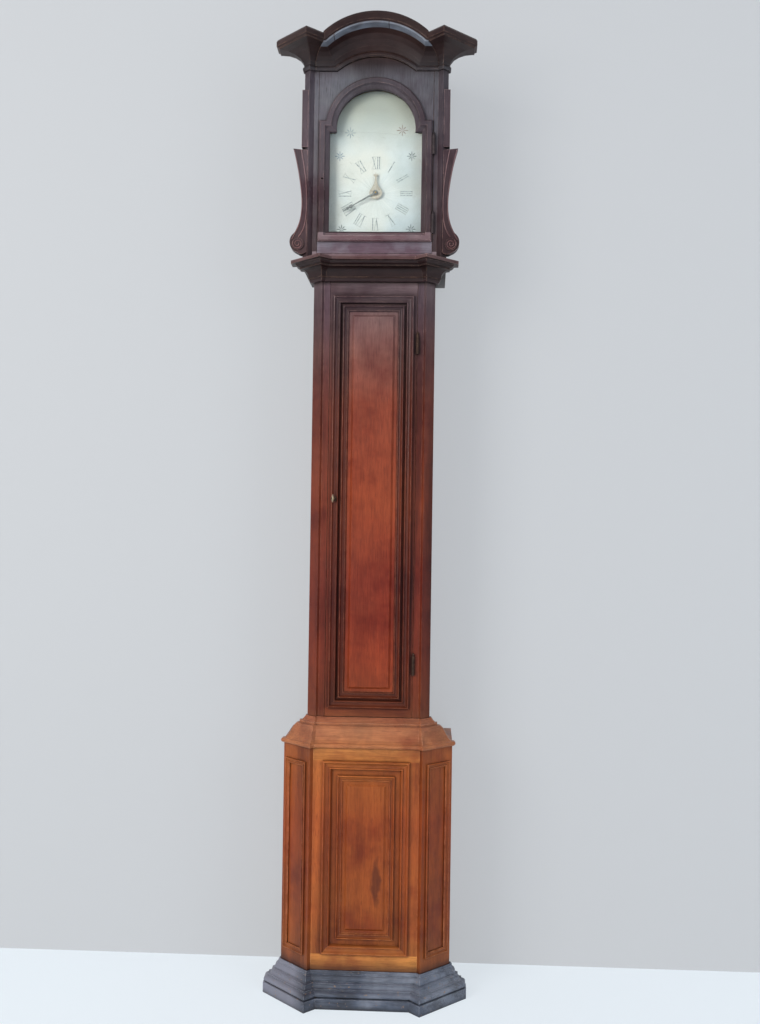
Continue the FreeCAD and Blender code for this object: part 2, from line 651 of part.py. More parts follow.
# Hood door: a frame with an arched opening, a bolection round the glass, glass and bead
light_half, light_low, light_shoulder = 116.5, hood_bottom + 69.0, hood_bottom + 322.0
light_arch_radius, light_arch_z = 100.0, light_shoulder + 9.0
light_rim, light_cover, light_proud = 8.0, 27.0, 9.0
glass_thick, glass_seat, glass_lap = 2.5, 11.0, 5.0


def light(grow=0.0):
    """Outline of the glazed opening, with square shoulders and a round arch, grown evenly."""
    radius, shoulder = light_arch_radius + grow, light_shoulder + grow
    foot = math.sqrt(radius ** 2 - (shoulder - light_arch_z) ** 2)
    half = light_half + grow
    return [
        (-half, light_low - grow), (half, light_low - grow), (half, shoulder), (foot, shoulder),
        (0, light_arch_z + radius, -foot, shoulder), (-half, shoulder),
    ]


hood_door_low = hood_bottom + sill_height + door_gap
door_side = hood_door_half - door_gap
hood_door_steps = [(-door_side, hood_door_low)] + arched(door_side, frieze_bottom - door_gap, door_arch_half, door_arch_rise)
hood_door_steps.append((door_side, hood_door_low))
hood_door = slab(hood_face, hood_door_steps, -hood_front_thick, 0)
hood_door = hood_door.cut(slab(hood_face, light(light_rim), -glass_seat, overrun))
hood_door = hood_door.cut(slab(hood_face, light(light_rim + glass_lap), -hood_front_thick - overrun, -glass_seat))


def rising(sections):
    """Solid through outlines of the light at successive heights: (grow, height)."""
    wires = [outline(hood_face, light(grow), height) for grow, height in sections]
    return Part.makeLoft(wires, True, True)


crest = light_cover - 10.0
hood_bead = rising([(light_cover, 0), (light_cover, light_proud * 0.6), (light_cover - 4, light_proud), (crest, light_proud)])
hood_bead = hood_bead.fuse(slab(hood_face, light(light_rim), -glass_seat, run_gap))
hood_bead = hood_bead.cut(rising([(0, -glass_seat - overrun), (0, -5), (2, -2), (9, 3), (13, light_proud), (13, light_proud + overrun)]))
hood_glass = slab(hood_face, light(light_rim + glass_lap - run_gap), -glass_seat - glass_thick, -glass_seat)
glass_bead = slab(hood_face, light(light_rim + glass_lap - run_gap), -hood_front_thick, -glass_seat - glass_thick)
glass_bead = glass_bead.cut(slab(hood_face, light(2.0), -hood_front_thick - overrun, overrun))

hood_axis = (hood_door_half + run_gap, hood.front - knuckle_radius)
hood_hinge_heights = (hood_bottom + 87.0, hood_bottom + 287.0)
fixed_sets, moving_sets = [], []
for z in hood_hinge_heights:
    fixed, moving, leaf_y = hinge(*hood_axis, z, -1)
    fixed_sets.append(fixed)
    moving_sets.append(moving)
save("hood_hinge_pins", *fixed_sets)

hood_lock_rise, hood_lock_wide, hood_lock_deep, hood_lock_half = 200.0, 20.0, 8.0, 22.0
bolt_shy, bolt_end, run_gap_end, hood_bolt_thick, hood_bolt_low, hood_bolt_high = 0.5, 16.0, 1.0, 4.0, 6.0, 14.0
hood_key_radius, hood_key_out, hood_key_in = 2.6, 20.0, 6.0
hood_lock_x, hood_lock_z = -134.0, hood_bottom + hood_lock_rise
hood_lock_case = block(-door_side, -door_side + hood_lock_wide, hood.front + hood_front_thick, hood.front + hood_front_thick + hood_lock_deep, hood_lock_z - hood_lock_half, hood_lock_z + hood_lock_half)
hood_bolt_y = hood.front + hood_front_thick + run_gap
hood_bolt = block(-door_side + bolt_shy, -door_side + bolt_end, hood_bolt_y, hood_bolt_y + hood_bolt_thick, hood_lock_z + hood_bolt_low, hood_lock_z + hood_bolt_high)
hood_bolt_room = block(-door_side - overrun, -door_side + bolt_end + run_gap_end, hood_bolt_y - overrun, hood_bolt_y + hood_bolt_thick + run_gap, hood_lock_z + hood_bolt_low - run_gap, hood_lock_z + hood_bolt_high + run_gap)
hood_key_way = disc(hood_key_radius, hood_lock_x, hood_lock_z, hood.front - hood_key_out, hood.front + hood_front_thick + hood_key_in)
hood_lock_case = hood_lock_case.cut(hood_bolt_room).cut(hood_key_way)
save("hood_door_frame", hood_door.cut(hood_key_way))
knuckle_room = [
    rod(knuckle_radius + run_gap, Vector(*hood_axis, z - knuckle_length - run_gap), Vector(*hood_axis, z + knuckle_length + 2 * finial))
    for z in hood_hinge_heights
]
save("hood_door_moulding", hood_bead.cut(hood_key_way).cut(Part.makeCompound(knuckle_room)), glass_bead)
save("hood_glass", hood_glass)
save("hood_door_fittings", hood_lock_case, *moving_sets)
save("hood_lock_bolt", hood_bolt)

# Seat board on two cheeks that carry on the trunk sides
seat_thick = 16.0
cheek_depth = 190.0
cheek = block(trunk.side - trunk.board, trunk.side, wall_y - cheek_depth + 20.0, wall_y - back_thick, hood_bottom, hood_bottom + cheek_height)
seat_z = hood_bottom + cheek_height + seat_thick
dial_rise = 174.0
dial_x, dial_z = 0.0, hood_bottom + dial_rise

# Depths of the movement, from the hood's front
plate_thick = 3.0
dial_setback, dial_to_plate, plates_apart, plate_to_pendulum, plate_to_sheave = 33.0, 24.0, 98.0, 30.0, 60.0
dial_y = hood.front + dial_setback
front_plate_y = dial_y + dial_to_plate
back_plate_y = front_plate_y + plates_apart
pendulum_y = back_plate_y + plate_to_pendulum
sheave_y = front_plate_y + plate_to_sheave

# Wheels: teeth and module of each pair; the pendulum beats seconds
great_teeth, centre_leaves, great_module = 60, 10, 1.3
centre_teeth, third_leaves, train_module = 60, 8, 1.0
escape_teeth, escape_radius = 32, 20.0
cannon_teeth, minute_teeth, motion_module = 12, 36, 1.0
minute_leaves, hour_teeth = 10, 40
great_distance = great_module * (great_teeth + centre_leaves) / 2
train_distance = train_module * (centre_teeth + third_leaves) / 2
motion_distance = motion_module * (cannon_teeth + minute_teeth) / 2
hour_module = 2 * motion_distance / (minute_leaves + hour_teeth)
third_turn, escape_turn, minute_turn = 60.0, 120.0, 215.0
anchor_distance = 28.0
tip_half_share, root_half_share = 0.12, 0.30
addendum_share, dedendum_share = 0.7, 1.0


def polar(centre, radius, degrees):
    x, z = centre
    turn = math.radians(degrees)
    return x + radius * math.cos(turn), z + radius * math.sin(turn)


centre_at = (dial_x, dial_z)
great_at = (dial_x, dial_z - great_distance)
third_at = polar(centre_at, train_distance, third_turn)
escape_at = polar(third_at, train_distance, escape_turn)
anchor_at = (escape_at[0], escape_at[1] + anchor_distance)
minute_at = polar(centre_at, motion_distance, minute_turn)


def gear(centre, teeth, module, phase, y0, y1, bore=0.0, rim=0.0, arms=4):
    """Toothed wheel facing the front with a tooth centred at angle phase; rim > 0 cuts it out to arms."""
    pitch = module * teeth / 2
    tip, root = pitch + addendum_share * module, pitch - dedendum_share * module
    step = 360.0 / teeth
    steps = []
    for i in range(teeth):
        at = phase + i * step
        for radius, share in ((root, -root_half_share), (tip, -tip_half_share), (tip, tip_half_share), (root, root_half_share)):
            steps.append(polar(centre, radius, at + share * step))
    wheel = slab(front_plane(y1), steps, 0, y1 - y0)
    if rim:
        hub, arm = pitch * 0.24, pitch * 0.08
        hole = disc(root - rim, *centre, y0 - overrun, y1 + overrun).cut(disc(hub, *centre, y0 - overrun, y1 + overrun))
        for i in range(arms):
            spoke = block(centre[0], centre[0] + pitch, y0 - overrun, y1 + overrun, centre[1] - arm, centre[1] + arm)
            spoke.rotate(Vector(centre[0], 0, centre[1]), Y_AXIS, i * 360.0 / arms)
            hole = hole.cut(spoke)
        wheel = wheel.cut(hole)
    if bore:
        wheel = wheel.cut(disc(bore, *centre, y0 - overrun, y1 + overrun))
    return wheel


def facing(phase_of_driver_direction, teeth):
    """Phase that puts a gap, not a tooth, towards the wheel that it meets."""
    return phase_of_driver_direction + 180.0 + 180.0 / teeth


pivot_radius, pivot_gap, arbor_radius = 2.0, 0.05, 3.0
great_pivot, great_arbor_radius = 3.0, 4.5
shoulder_gap = 0.6
plate_half, plate_low, plate_high = 55.0, seat_z, anchor_at[1] + 14.0
inner_front, inner_back = front_plate_y + plate_thick, back_plate_y


def arbor(centre, radius, pivot, y0=inner_front, y1=inner_back, front_out=0.0, back_out=0.0):
    """Steel arbor between the plates with a pivot through each."""
    body = disc(radius, *centre, y0 + shoulder_gap, y1 - shoulder_gap)
    ends = disc(pivot, *centre, y0 - plate_thick - front_out, y1 + plate_thick + back_out)
    return body.fuse(ends)


hammer_at = (-46.0, plate_high - 22.0)
arbors = {"hammer": (hammer_at, pivot_radius), "great": (great_at, great_pivot), "centre": (centre_at, 2.4), "third": (third_at, pivot_radius),
          "escape": (escape_at, pivot_radius), "anchor": (anchor_at, pivot_radius)}
plates = []
for y in (front_plate_y, back_plate_y):
    plate = block(-plate_half, plate_half, y, y + plate_thick, plate_low, plate_high)
    for centre, pivot in arbors.values():
        plate = plate.cut(disc(pivot + pivot_gap, *centre, y - overrun, y + plate_thick + overrun))
    plates.append(plate)
pillar_radius = 4.0
pillar_edge, top_pillar_x = 9.0, 30.0
pillar_places = [(side * x, z) for side in (-1, 1) for x, z in
                 ((plate_half - pillar_edge, plate_low + pillar_edge), (top_pillar_x, plate_high - pillar_edge))]
pillars = [disc(pillar_radius, x, z, inner_front, inner_back) for x, z in pillar_places]
motion_y = front_plate_y - 11.0
hour_wheel_y = motion_y - 7.0
stud = disc(pivot_radius, *minute_at, hour_wheel_y - 2.0, front_plate_y)
save("front_plate", plates[0].fuse(stud))
back_plate = fused([plates[1], *pillars])
bob_swing_room = 44.0
seat = block(-trunk.side, trunk.side, front_plate_y - 8.0, wall_y - back_thick, seat_z - seat_thick, seat_z)
seat = seat.cut(block(-bob_swing_room, bob_swing_room, back_plate_y + plate_thick + 2.0, wall_y, 0, seat_z + overrun))
rope_radius, rope_hole = 1.6, 7.0
sheave_groove, sheave_flange, sheave_width = 36.0, 41.0, 18.0
rope_x = sheave_groove + rope_radius
for x in (-rope_x, rope_x):
    seat = seat.cut(rod(rope_hole, Vector(x, sheave_y, seat_z - seat_thick - overrun), Vector(x, sheave_y, seat_z + overrun)))
save("seat_board", seat, cheek, mirrored(cheek))

# Great wheel and its loose rope sheave
quarter, spokes = 90.0, 4
great_room, great_thick, great_hub = 6.0, 3.5, 6.0
wheel_pitch, escape_pitch = 12.0, 8.0
wheel_thick, wheel_hub, leaf_past = 2.5, 5.0, 1.0
collet_radius, collet_back, collet_front = 7.0, 3.0, 4.0
escape_thick, hub_radius, spoke_half = 2.0, 5.5, 1.3
hand_out = 21.0
crutch_half, crutch_thick, crutch_eye = 2.0, 2.5, 5.0
anchor_front, anchor_thick = 3.0, 4.0
prong_high, prong_out = 4.0, 6.0
cock_half, cheek_half, slit_half = 7.0, 9.0, 1.2
block_half, block_past, block_high = 3.0, 1.0, 10.0
nut_thick, sleeve_radius = 6.0, 5.0
cannon_thick, motion_thick = 4.0, 3.0
stand_half, stand_thick, bell_nut = 5.0, 3.0, 6.0
head_radius, arm_thick = 6.0, 5.0
great_y = inner_front + great_room
great_body = gear(great_at, great_teeth, great_module, quarter, great_y, great_y + great_thick, 0, great_hub, spokes)
save("great_wheel", fused([great_body, arbor(great_at, great_arbor_radius, great_pivot)]))
half_width = sheave_width / 2
sheave_steps = [(great_arbor_radius + pivot_gap, -half_width), (sheave_flange, -half_width), (sheave_flange, -half_width + 2.5),
                (sheave_groove, -3.0), (sheave_groove, 3.0), (sheave_flange, half_width - 2.5), (sheave_flange, half_width),
                (great_arbor_radius + pivot_gap, half_width)]
section = Plane(Vector(great_at[0], sheave_y, great_at[1]), X_AXIS, Y_AXIS)
sheave = Part.Face(outline(section, sheave_steps)).revolve(Vector(great_at[0], 0, great_at[1]), Y_AXIS, 360)
save("rope_sheave", sheave)

# Going train
centre_y = great_y + wheel_pitch
third_y = centre_y + wheel_pitch
escape_y = third_y + escape_pitch
centre_pinion = gear(centre_at, centre_leaves, great_module, facing(quarter, centre_leaves), great_y - leaf_past, great_y + great_thick + leaf_past)
centre_pivot = 2.4
cannon_bore = centre_pivot + pivot_gap
centre_leaf_phase = facing(quarter, centre_leaves)
hand_front_y = hood.front + hand_out
centre_arbor = disc(arbor_radius, *centre_at, inner_front + shoulder_gap, inner_back - shoulder_gap)
centre_arbor = centre_arbor.fuse(disc(centre_pivot, *centre_at, hand_front_y, back_plate_y + plate_thick))
pinion = gear(centre_at, centre_leaves, great_module, centre_leaf_phase, great_y - leaf_past, great_y + great_thick + leaf_past)
wheel = gear(centre_at, centre_teeth, train_module, third_turn, centre_y, centre_y + wheel_thick, 0, wheel_hub, spokes)
collet = disc(collet_radius, *centre_at, centre_y - collet_back, centre_y + collet_front)
save("centre_wheel", fused([centre_arbor, pinion, wheel, collet]))
third_body = arbor(third_at, arbor_radius, pivot_radius)
pinion = gear(third_at, third_leaves, train_module, facing(third_turn, third_leaves), centre_y - leaf_past, centre_y + wheel_thick + leaf_past)
wheel = gear(third_at, centre_teeth, train_module, escape_turn, third_y, third_y + wheel_thick, 0, wheel_hub, spokes)
save("third_wheel", fused([third_body, pinion, wheel, disc(collet_radius, *third_at, third_y - collet_back, third_y + collet_front)]))
escape_body = arbor(escape_at, arbor_radius, pivot_radius)
pinion = gear(escape_at, third_leaves, train_module, facing(escape_turn, third_leaves), third_y - leaf_past, third_y + wheel_thick + leaf_past)
ratchet_steps = []
for i in range(escape_teeth):
    turn = quarter + i * 360.0 / escape_teeth
    ratchet_steps += [polar(escape_at, escape_radius, turn), polar(escape_at, escape_radius * 0.86, turn + 2.0)]
    ratchet_steps.append(polar(escape_at, escape_radius * 0.86, turn + 7.5))
wheel = slab(front_plane(escape_y + escape_thick), ratchet_steps, 0, escape_thick)
window = disc(escape_radius * 0.74, *escape_at, escape_y - overrun, escape_y + overrun)
window = window.cut(disc(hub_radius, *escape_at, escape_y - overrun, escape_y + overrun))
for i in range(4):
    arm = block(escape_at[0], escape_at[0] + escape_radius, escape_y - overrun, escape_y + overrun, escape_at[1] - spoke_half, escape_at[1] + spoke_half)
    arm.rotate(Vector(escape_at[0], 0, escape_at[1]), Y_AXIS, quarter / 2 + i * quarter)
    window = window.cut(arm)
save("escape_wheel", fused([escape_body, pinion, wheel.cut(window), disc(hub_radius, *escape_at, escape_y - escape_thick, escape_y + collet_front)]))

# Anchor with its arbor, and the crutch that takes the beat to the pendulum behind
crutch_length, crutch_y = 120.0, back_plate_y + plate_thick + 3.0
anchor_half = [(0, 7.0), (8.0, 5.0), (19.0, -5.0), (21.0, -16.0), (17.0, -15.0), (15.2, -10.0), (6.0, -4.5)]
anchor_steps = [(anchor_at[0] + x, anchor_at[1] + z) for x, z in anchor_half + [(0, -5.0)]]
anchor_steps += [(anchor_at[0] - x, anchor_at[1] + z) for x, z in reversed(anchor_half[1:])]
anchor_body = slab(front_plane(escape_y + anchor_front), anchor_steps, 0, anchor_thick)
anchor_arbor = arbor(anchor_at, arbor_radius, pivot_radius, back_out=6.5)
crutch_low = anchor_at[1] - crutch_length
crutch = block(-crutch_half, crutch_half, crutch_y, crutch_y + crutch_thick, crutch_low, anchor_at[1])
crutch = crutch.fuse(disc(crutch_eye, *anchor_at, crutch_y, crutch_y + crutch_thick))
pendulum_rod_radius, fork_gap, prong = 2.5, 0.3, 1.8
fork_half = pendulum_rod_radius + fork_gap + prong
fork = block(-fork_half, fork_half, crutch_y, crutch_y + crutch_thick, crutch_low, crutch_low + prong_high)
for x in (-fork_half, fork_half - prong):
    fork = fork.fuse(block(x, x + prong, crutch_y, pendulum_y + prong_out, crutch_low, crutch_low + prong_high))
save("anchor_crutch", fused([anchor_body, anchor_arbor, crutch, fork]))

# Suspension cock on the back plate and the pendulum that hangs in it
bead_radius, bead_half, strip_half, strip_thick = 2.0, 7.0, 5.0, 0.6
cock_top, cock_low = anchor_at[1] + 13.0, anchor_at[1] - 6.0
arm_low = anchor_at[1] + 8.0
cock_y = back_plate_y + plate_thick
cock = block(-cock_half, cock_half, cock_y, pendulum_y + cheek_half, arm_low, cock_top)
cock = cock.fuse(block(-cock_half, cock_half, pendulum_y - cheek_half, pendulum_y + cheek_half, cock_low, arm_low)).removeSplitter()
cock = cock.cut(disc(bead_radius + pivot_gap, *anchor_at, pendulum_y - bead_half - run_gap, pendulum_y + bead_half + run_gap))
cock = cock.cut(block(-slit_half, slit_half, pendulum_y - strip_half - run_gap, pendulum_y + strip_half + run_gap, cock_low - overrun, anchor_at[1]))
save("back_plate", back_plate, cock)
pendulum_length, bob_radius, bob_thick, nut_radius = 994.0, 75.0, 25.0, 8.0
spring_length, bob_low_gap = 15.0, 16.0
bob_z = anchor_at[1] - pendulum_length
rod_top = anchor_at[1] - spring_length
spring = block(-strip_thick / 2, strip_thick / 2, pendulum_y - strip_half, pendulum_y + strip_half, rod_top - 6.0, anchor_at[1])
bead = disc(bead_radius, *anchor_at, pendulum_y - bead_half, pendulum_y + bead_half)
spring_block = block(-block_half, block_half, pendulum_y - strip_half - block_past, pendulum_y + strip_half + block_past, rod_top - block_high, rod_top)
rod_foot = bob_z - bob_radius - bob_low_gap - 14.0
long_rod = rod(pendulum_rod_radius, Vector(0, pendulum_y, rod_foot), Vector(0, pendulum_y, rod_top - 5.0))
nut_z = bob_z - bob_radius - bob_low_gap
nut = rod(nut_radius, Vector(0, pendulum_y, nut_z), Vector(0, pendulum_y, nut_z + nut_thick))
sleeve = rod(sleeve_radius, Vector(0, pendulum_y, nut_z + nut_thick), Vector(0, pendulum_y, bob_z - bob_radius))
save("pendulum_rod", fused([bead, spring, spring_block, long_rod, nut, sleeve]))
bob_edge = 3.6
dome_depth = bob_thick / 2 - bob_edge
dome_radius = (bob_radius ** 2 + dome_depth ** 2) / (2 * dome_depth)
bob = disc(bob_radius, 0, bob_z, pendulum_y - bob_thick / 2, pendulum_y + bob_thick / 2)
for side in (-1, 1):
    centre = Vector(0, pendulum_y + side * (dome_radius - bob_thick / 2), bob_z)
    bob = bob.common(Part.makeSphere(dome_radius, centre))
bob = bob.cut(rod(pendulum_rod_radius + pivot_gap, Vector(0, pendulum_y, bob_z - bob_radius - 10.0), Vector(0, pendulum_y, bob_z + bob_radius + 10.0)))
save("pendulum_bob", bob)

# Motion work in front of the plate, and the hands
hour_pipe = 6.5
cannon_radius = 4.5
cannon = gear(centre_at, cannon_teeth, motion_module, minute_turn, motion_y, motion_y + cannon_thick, cannon_bore)
cannon_pipe = disc(cannon_radius, *centre_at, hood.front + 23.6, motion_y).cut(disc(cannon_bore, *centre_at, hood.front, motion_y + overrun))
minute_hand_y0, minute_hand_y1 = hood.front + 22.0, hood.front + 23.5
hour_hand_y0, hour_hand_y1 = hood.front + 26.5, hood.front + 28.0
hour_wheel = gear(centre_at, hour_teeth, hour_module, facing(minute_turn + 2 * quarter, hour_teeth), hour_wheel_y, hour_wheel_y + motion_thick)
pipe = disc(hour_pipe, *centre_at, hour_hand_y0, hour_wheel_y)
hour_wheel = hour_wheel.fuse(pipe).cut(disc(cannon_radius + pivot_gap, *centre_at, hood.front, motion_y + overrun))
save("hour_wheel", hour_wheel)
save("cannon_pinion", cannon.fuse(cannon_pipe))
minute_wheel = gear(minute_at, minute_teeth, motion_module, facing(minute_turn, minute_teeth), motion_y, motion_y + motion_thick)
leaves = gear(minute_at, minute_leaves, hour_module, minute_turn + 2 * quarter, hour_wheel_y - 0.5, motion_y)
minute_wheel = minute_wheel.fuse(leaves).cut(disc(pivot_radius + pivot_gap, *minute_at, hour_wheel_y - overrun, front_plate_y))
save("minute_wheel", minute_wheel)


def hand(half_steps, heading, y0, y1, bore):
    """Hand cut from sheet: half_steps is its right edge, (across, along), heading is degrees past twelve."""
    left = [(-a, b) if len(rest) == 0 else (-a, b, -rest[0], rest[1]) for a, b, *rest in backwards(half_steps)[1:]]
    turn = math.radians(heading)
    steps = []
    for step in list(half_steps) + left:
        turned = []
        for i in range(0, len(step), 2):
            across, along = step[i], step[i + 1]
            turned += [centre_at[0] + across * math.cos(turn) + along * math.sin(turn),
                       centre_at[1] - across * math.sin(turn) + along * math.cos(turn)]
        steps.append(tuple(turned))
    return slab(front_plane(y1), steps, 0, y1 - y0).cut(disc(bore, *centre_at, y0 - overrun, y1 + overrun))


hour_half = [(0, -16.0), (16.0, 0, 12.8, 9.6), (6.2, 20.0, 2.2, 37.0), (1.6, 42.0), (5.4, 44.6, 4.4, 49.0), (1.7, 47.0), (0, 53.0)]
minute_half = [(0, -6.5), (6.5, 0, 2.2, 6.1), (1.3, 67.0), (4.6, 72.0, 1.4, 77.0), (4.4, 84.0), (1.6, 83.0), (0, 95.0)]
hour_heading, minute_heading = 0.0, 240.0
save("hour_hand", hand(hour_half, hour_heading, hour_hand_y0, hour_hand_y1, hour_pipe + pivot_gap))
save("minute_hand", hand(minute_half, minute_heading, minute_hand_y0, minute_hand_y1, centre_pivot + pivot_gap))

# Painted dial plate on four feet
dial_thick, dial_grow, foot_radius, foot_x = 1.5, 5.5, 3.0, 46.0
dial = slab(front_plane(dial_y), light(dial_grow), -dial_thick, 0).cut(disc(hour_pipe + 1.0, *centre_at, dial_y - overrun, dial_y + overrun))
foot_drop, foot_rise = 64.0, 72.0
foot_places = [(x, z) for x in (-foot_x, foot_x) for z in (dial_z - foot_drop, dial_z + foot_rise)]
feet = [disc(foot_radius, x, z, dial_y + dial_thick, front_plate_y) for x, z in foot_places]
save("dial_plate", fused([dial, *feet]))

# Driving weight on its line, which passes over the sheave; the free tail hangs to the base floor
weight_radius, weight_height, weight_drop = 38.0, 190.0, 145.0
weight_low = trunk_bottom - weight_drop
eye_ring, eye_wire, ferrule_radius, ferrule_height = 7.0, 2.0, 3.2, 9.0
line_x = sheave_groove + rope_radius + pivot_gap
weight_at = Vector(-line_x, sheave_y, weight_low)
weight_top = weight_low + weight_height
body_steps = [(0, 0), (weight_radius - 3.0, 0), (weight_radius, 3.0), (weight_radius, weight_height - 8.0), (weight_radius - 8.0, weight_height), (0, weight_height)]
weight_section = Plane(weight_at, X_AXIS, Z_AXIS)
weight_body = Part.Face(outline(weight_section, body_steps)).revolve(weight_at, Z_AXIS, 360)
eye_z = weight_top + 4.0 + eye_ring
eye_at = Vector(-line_x, sheave_y, eye_z)
eye = Part.makeTorus(eye_ring, eye_wire, eye_at, Y_AXIS)
stem = rod(3.0, eye_at - Z_AXIS * (eye_ring + 6.0), eye_at - Z_AXIS * (eye_ring - 1.0))
line_low = eye_z + eye_ring + ferrule_height
ferrule = rod(ferrule_radius, eye_at + Z_AXIS * (eye_ring - 1.0), eye_at + Z_AXIS * (eye_ring + ferrule_height))
save("weight", fused([weight_body, stem, eye, ferrule]))
line_top = great_at[1]
save("weight_line", rod(rope_radius, Vector(-line_x, sheave_y, line_low), Vector(-line_x, sheave_y, line_top)))
base_floor_top = base_floor_low + base_floor_thick
tail = rod(rope_radius, Vector(line_x, sheave_y, base_floor_top), Vector(line_x, sheave_y, line_top))
over = Part.Wire([Part.Arc(Vector(-line_x, sheave_y, line_top), Vector(0, sheave_y, line_top + line_x), Vector(line_x, sheave_y, line_top)).toShape()])
round_wire = Part.Wire([Part.makeCircle(rope_radius, Vector(-line_x, sheave_y, line_top), Z_AXIS)])
bend = over.makePipeShell([round_wire], True, False)
save("tail_line", fused([tail, bend]))

# Bell on its stand, and the hammer on an arbor between the plates
bell_x, bell_setback, bell_rise = -28.0, 39.0, 327.0
bell_y, bell_low = back_plate_y - bell_setback, hood_bottom + bell_rise
bell_radius, bell_thick, bell_height = 45.0, 3.0, 41.0
bell_axis = Vector(bell_x, bell_y, bell_low)
bell_section = Plane(bell_axis, X_AXIS, Z_AXIS)


def dome(radius, height):
    """Half section of the bell's outside or inside: flared lip, upright waist, round crown."""
    waist_x, waist_z = radius * 0.92, height * 0.40
    centre_z = (height ** 2 - waist_x ** 2 - waist_z ** 2) / (2 * (height - waist_z))
    crown = height - centre_z
    turn = math.atan2(waist_x, waist_z - centre_z) / 2
    return [(0, 0), (radius, 0), (radius * 0.94, height * 0.22, waist_x, waist_z),
            (crown * math.sin(turn), centre_z + crown * math.cos(turn), 0, height)]


outside = Part.Face(outline(bell_section, dome(bell_radius, bell_height))).revolve(bell_axis, Z_AXIS, 360)
inner_steps = dome(bell_radius - bell_thick, bell_height - bell_thick)
inner_steps[0], inner_steps[1] = (0, -overrun), (bell_radius - bell_thick, -overrun)
inside = Part.Face(outline(bell_section, inner_steps)).revolve(bell_axis, Z_AXIS, 360)
post_radius = 3.0
post_top = bell_low + bell_height + 8.0
post = rod(post_radius, bell_axis - Z_AXIS * 14.0, Vector(bell_x, bell_y, post_top))
nut = rod(bell_nut, Vector(bell_x, bell_y, bell_low + bell_height), Vector(bell_x, bell_y, bell_low + bell_height + 5.0))
save("bell", outside.cut(inside).cut(rod(post_radius + pivot_gap, bell_axis, Vector(bell_x, bell_y, post_top))))
stand_y = back_plate_y + plate_thick
stand = block(bell_x - stand_half, bell_x + stand_half, stand_y, stand_y + stand_thick, plate_high - 34.0, bell_low - 10.0)
stand = stand.fuse(block(bell_x - stand_half, bell_x + stand_half, bell_y - 6.0, stand_y + stand_thick, bell_low - 14.0, bell_low - 10.0))
save("bell_stand", fused([stand, post, nut]))
hammer_y = bell_y - 2.5
head_z, head_x, head_length = bell_low + 7.0, bell_x - bell_radius - 3.0, 14.0
hammer_arm = [(hammer_at[0] - 4.0, hammer_at[1]), (hammer_at[0] + 3.0, hammer_at[1]), (head_x - head_length / 2 + 3.0, head_z), (head_x - head_length / 2 - 3.0, head_z)]
arm = slab(front_plane(hammer_y + arm_thick), hammer_arm, 0, arm_thick)
head = rod(head_radius, Vector(head_x - head_length, bell_y, head_z), Vector(head_x, bell_y, head_z))
save("hammer", fused([arbor(hammer_at, arbor_radius, pivot_radius), arm, head]))
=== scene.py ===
# %% [markdown]
# # A longcase clock with canted corners
#
# The real object is a tall pendulum clock in waxed wood. A broad base stands on a black
# plinth, a slim trunk carries a full-height panelled door, and the hood on top has an arched
# glazed door over a painted dial. The solids come from the construction model. This script
# gives each surface its finish, adds the painted marks of the dial, the carved lines of the
# scrolls and the twisted line of the weight, and sets up the light and the camera.

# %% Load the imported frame
import math
import bmesh
import bpy
from mathutils import Matrix, Vector


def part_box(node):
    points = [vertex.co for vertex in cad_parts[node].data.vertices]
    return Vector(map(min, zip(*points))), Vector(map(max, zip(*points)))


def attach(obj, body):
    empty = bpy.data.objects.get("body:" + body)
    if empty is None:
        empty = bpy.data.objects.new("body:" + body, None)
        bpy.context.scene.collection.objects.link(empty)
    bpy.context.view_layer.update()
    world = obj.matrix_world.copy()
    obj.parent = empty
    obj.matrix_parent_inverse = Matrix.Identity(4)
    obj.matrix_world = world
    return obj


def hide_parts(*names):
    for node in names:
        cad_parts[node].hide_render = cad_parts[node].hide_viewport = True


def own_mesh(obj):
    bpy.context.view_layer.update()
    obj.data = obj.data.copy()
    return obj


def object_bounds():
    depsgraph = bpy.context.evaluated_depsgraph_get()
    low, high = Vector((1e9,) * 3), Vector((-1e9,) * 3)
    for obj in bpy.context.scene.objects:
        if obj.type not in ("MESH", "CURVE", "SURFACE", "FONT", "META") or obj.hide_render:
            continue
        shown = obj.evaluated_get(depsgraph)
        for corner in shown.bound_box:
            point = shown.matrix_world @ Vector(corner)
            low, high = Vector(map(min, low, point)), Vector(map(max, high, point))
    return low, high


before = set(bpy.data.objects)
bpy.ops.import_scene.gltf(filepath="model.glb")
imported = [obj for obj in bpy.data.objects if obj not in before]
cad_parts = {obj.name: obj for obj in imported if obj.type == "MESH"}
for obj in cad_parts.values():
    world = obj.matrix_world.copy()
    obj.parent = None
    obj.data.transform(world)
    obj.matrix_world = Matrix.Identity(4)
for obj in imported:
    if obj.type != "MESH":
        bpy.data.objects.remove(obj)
box_at_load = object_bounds()

# %% [markdown]
# ## Camera
#
# The photograph was taken from about two and three quarter metres away, at chest height and
# a hand's breadth to the right of the clock. The clock leans a little in the picture, so the
# camera is rolled by the same small angle. The lens follows from the picture: an object one
# metre wide at one metre's distance would be 1100 pixels wide.

# %% Camera
MM = 0.001
PHOTO_WIDTH, PHOTO_HEIGHT = 760, 1024
FOCAL_PIXELS = 1100.0
SENSOR = 36.0 * MM
base_front_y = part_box("base_front_frame")[0][1]
case_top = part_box("hood_bonnet")[1][2]
EYE_DISTANCE, EYE_HEIGHT, EYE_RIGHT = 2.75, 1.19, 0.15
TURN_LEFT, TILT_UP, ROLL = math.radians(2.6), math.radians(0.71), math.radians(0.84)

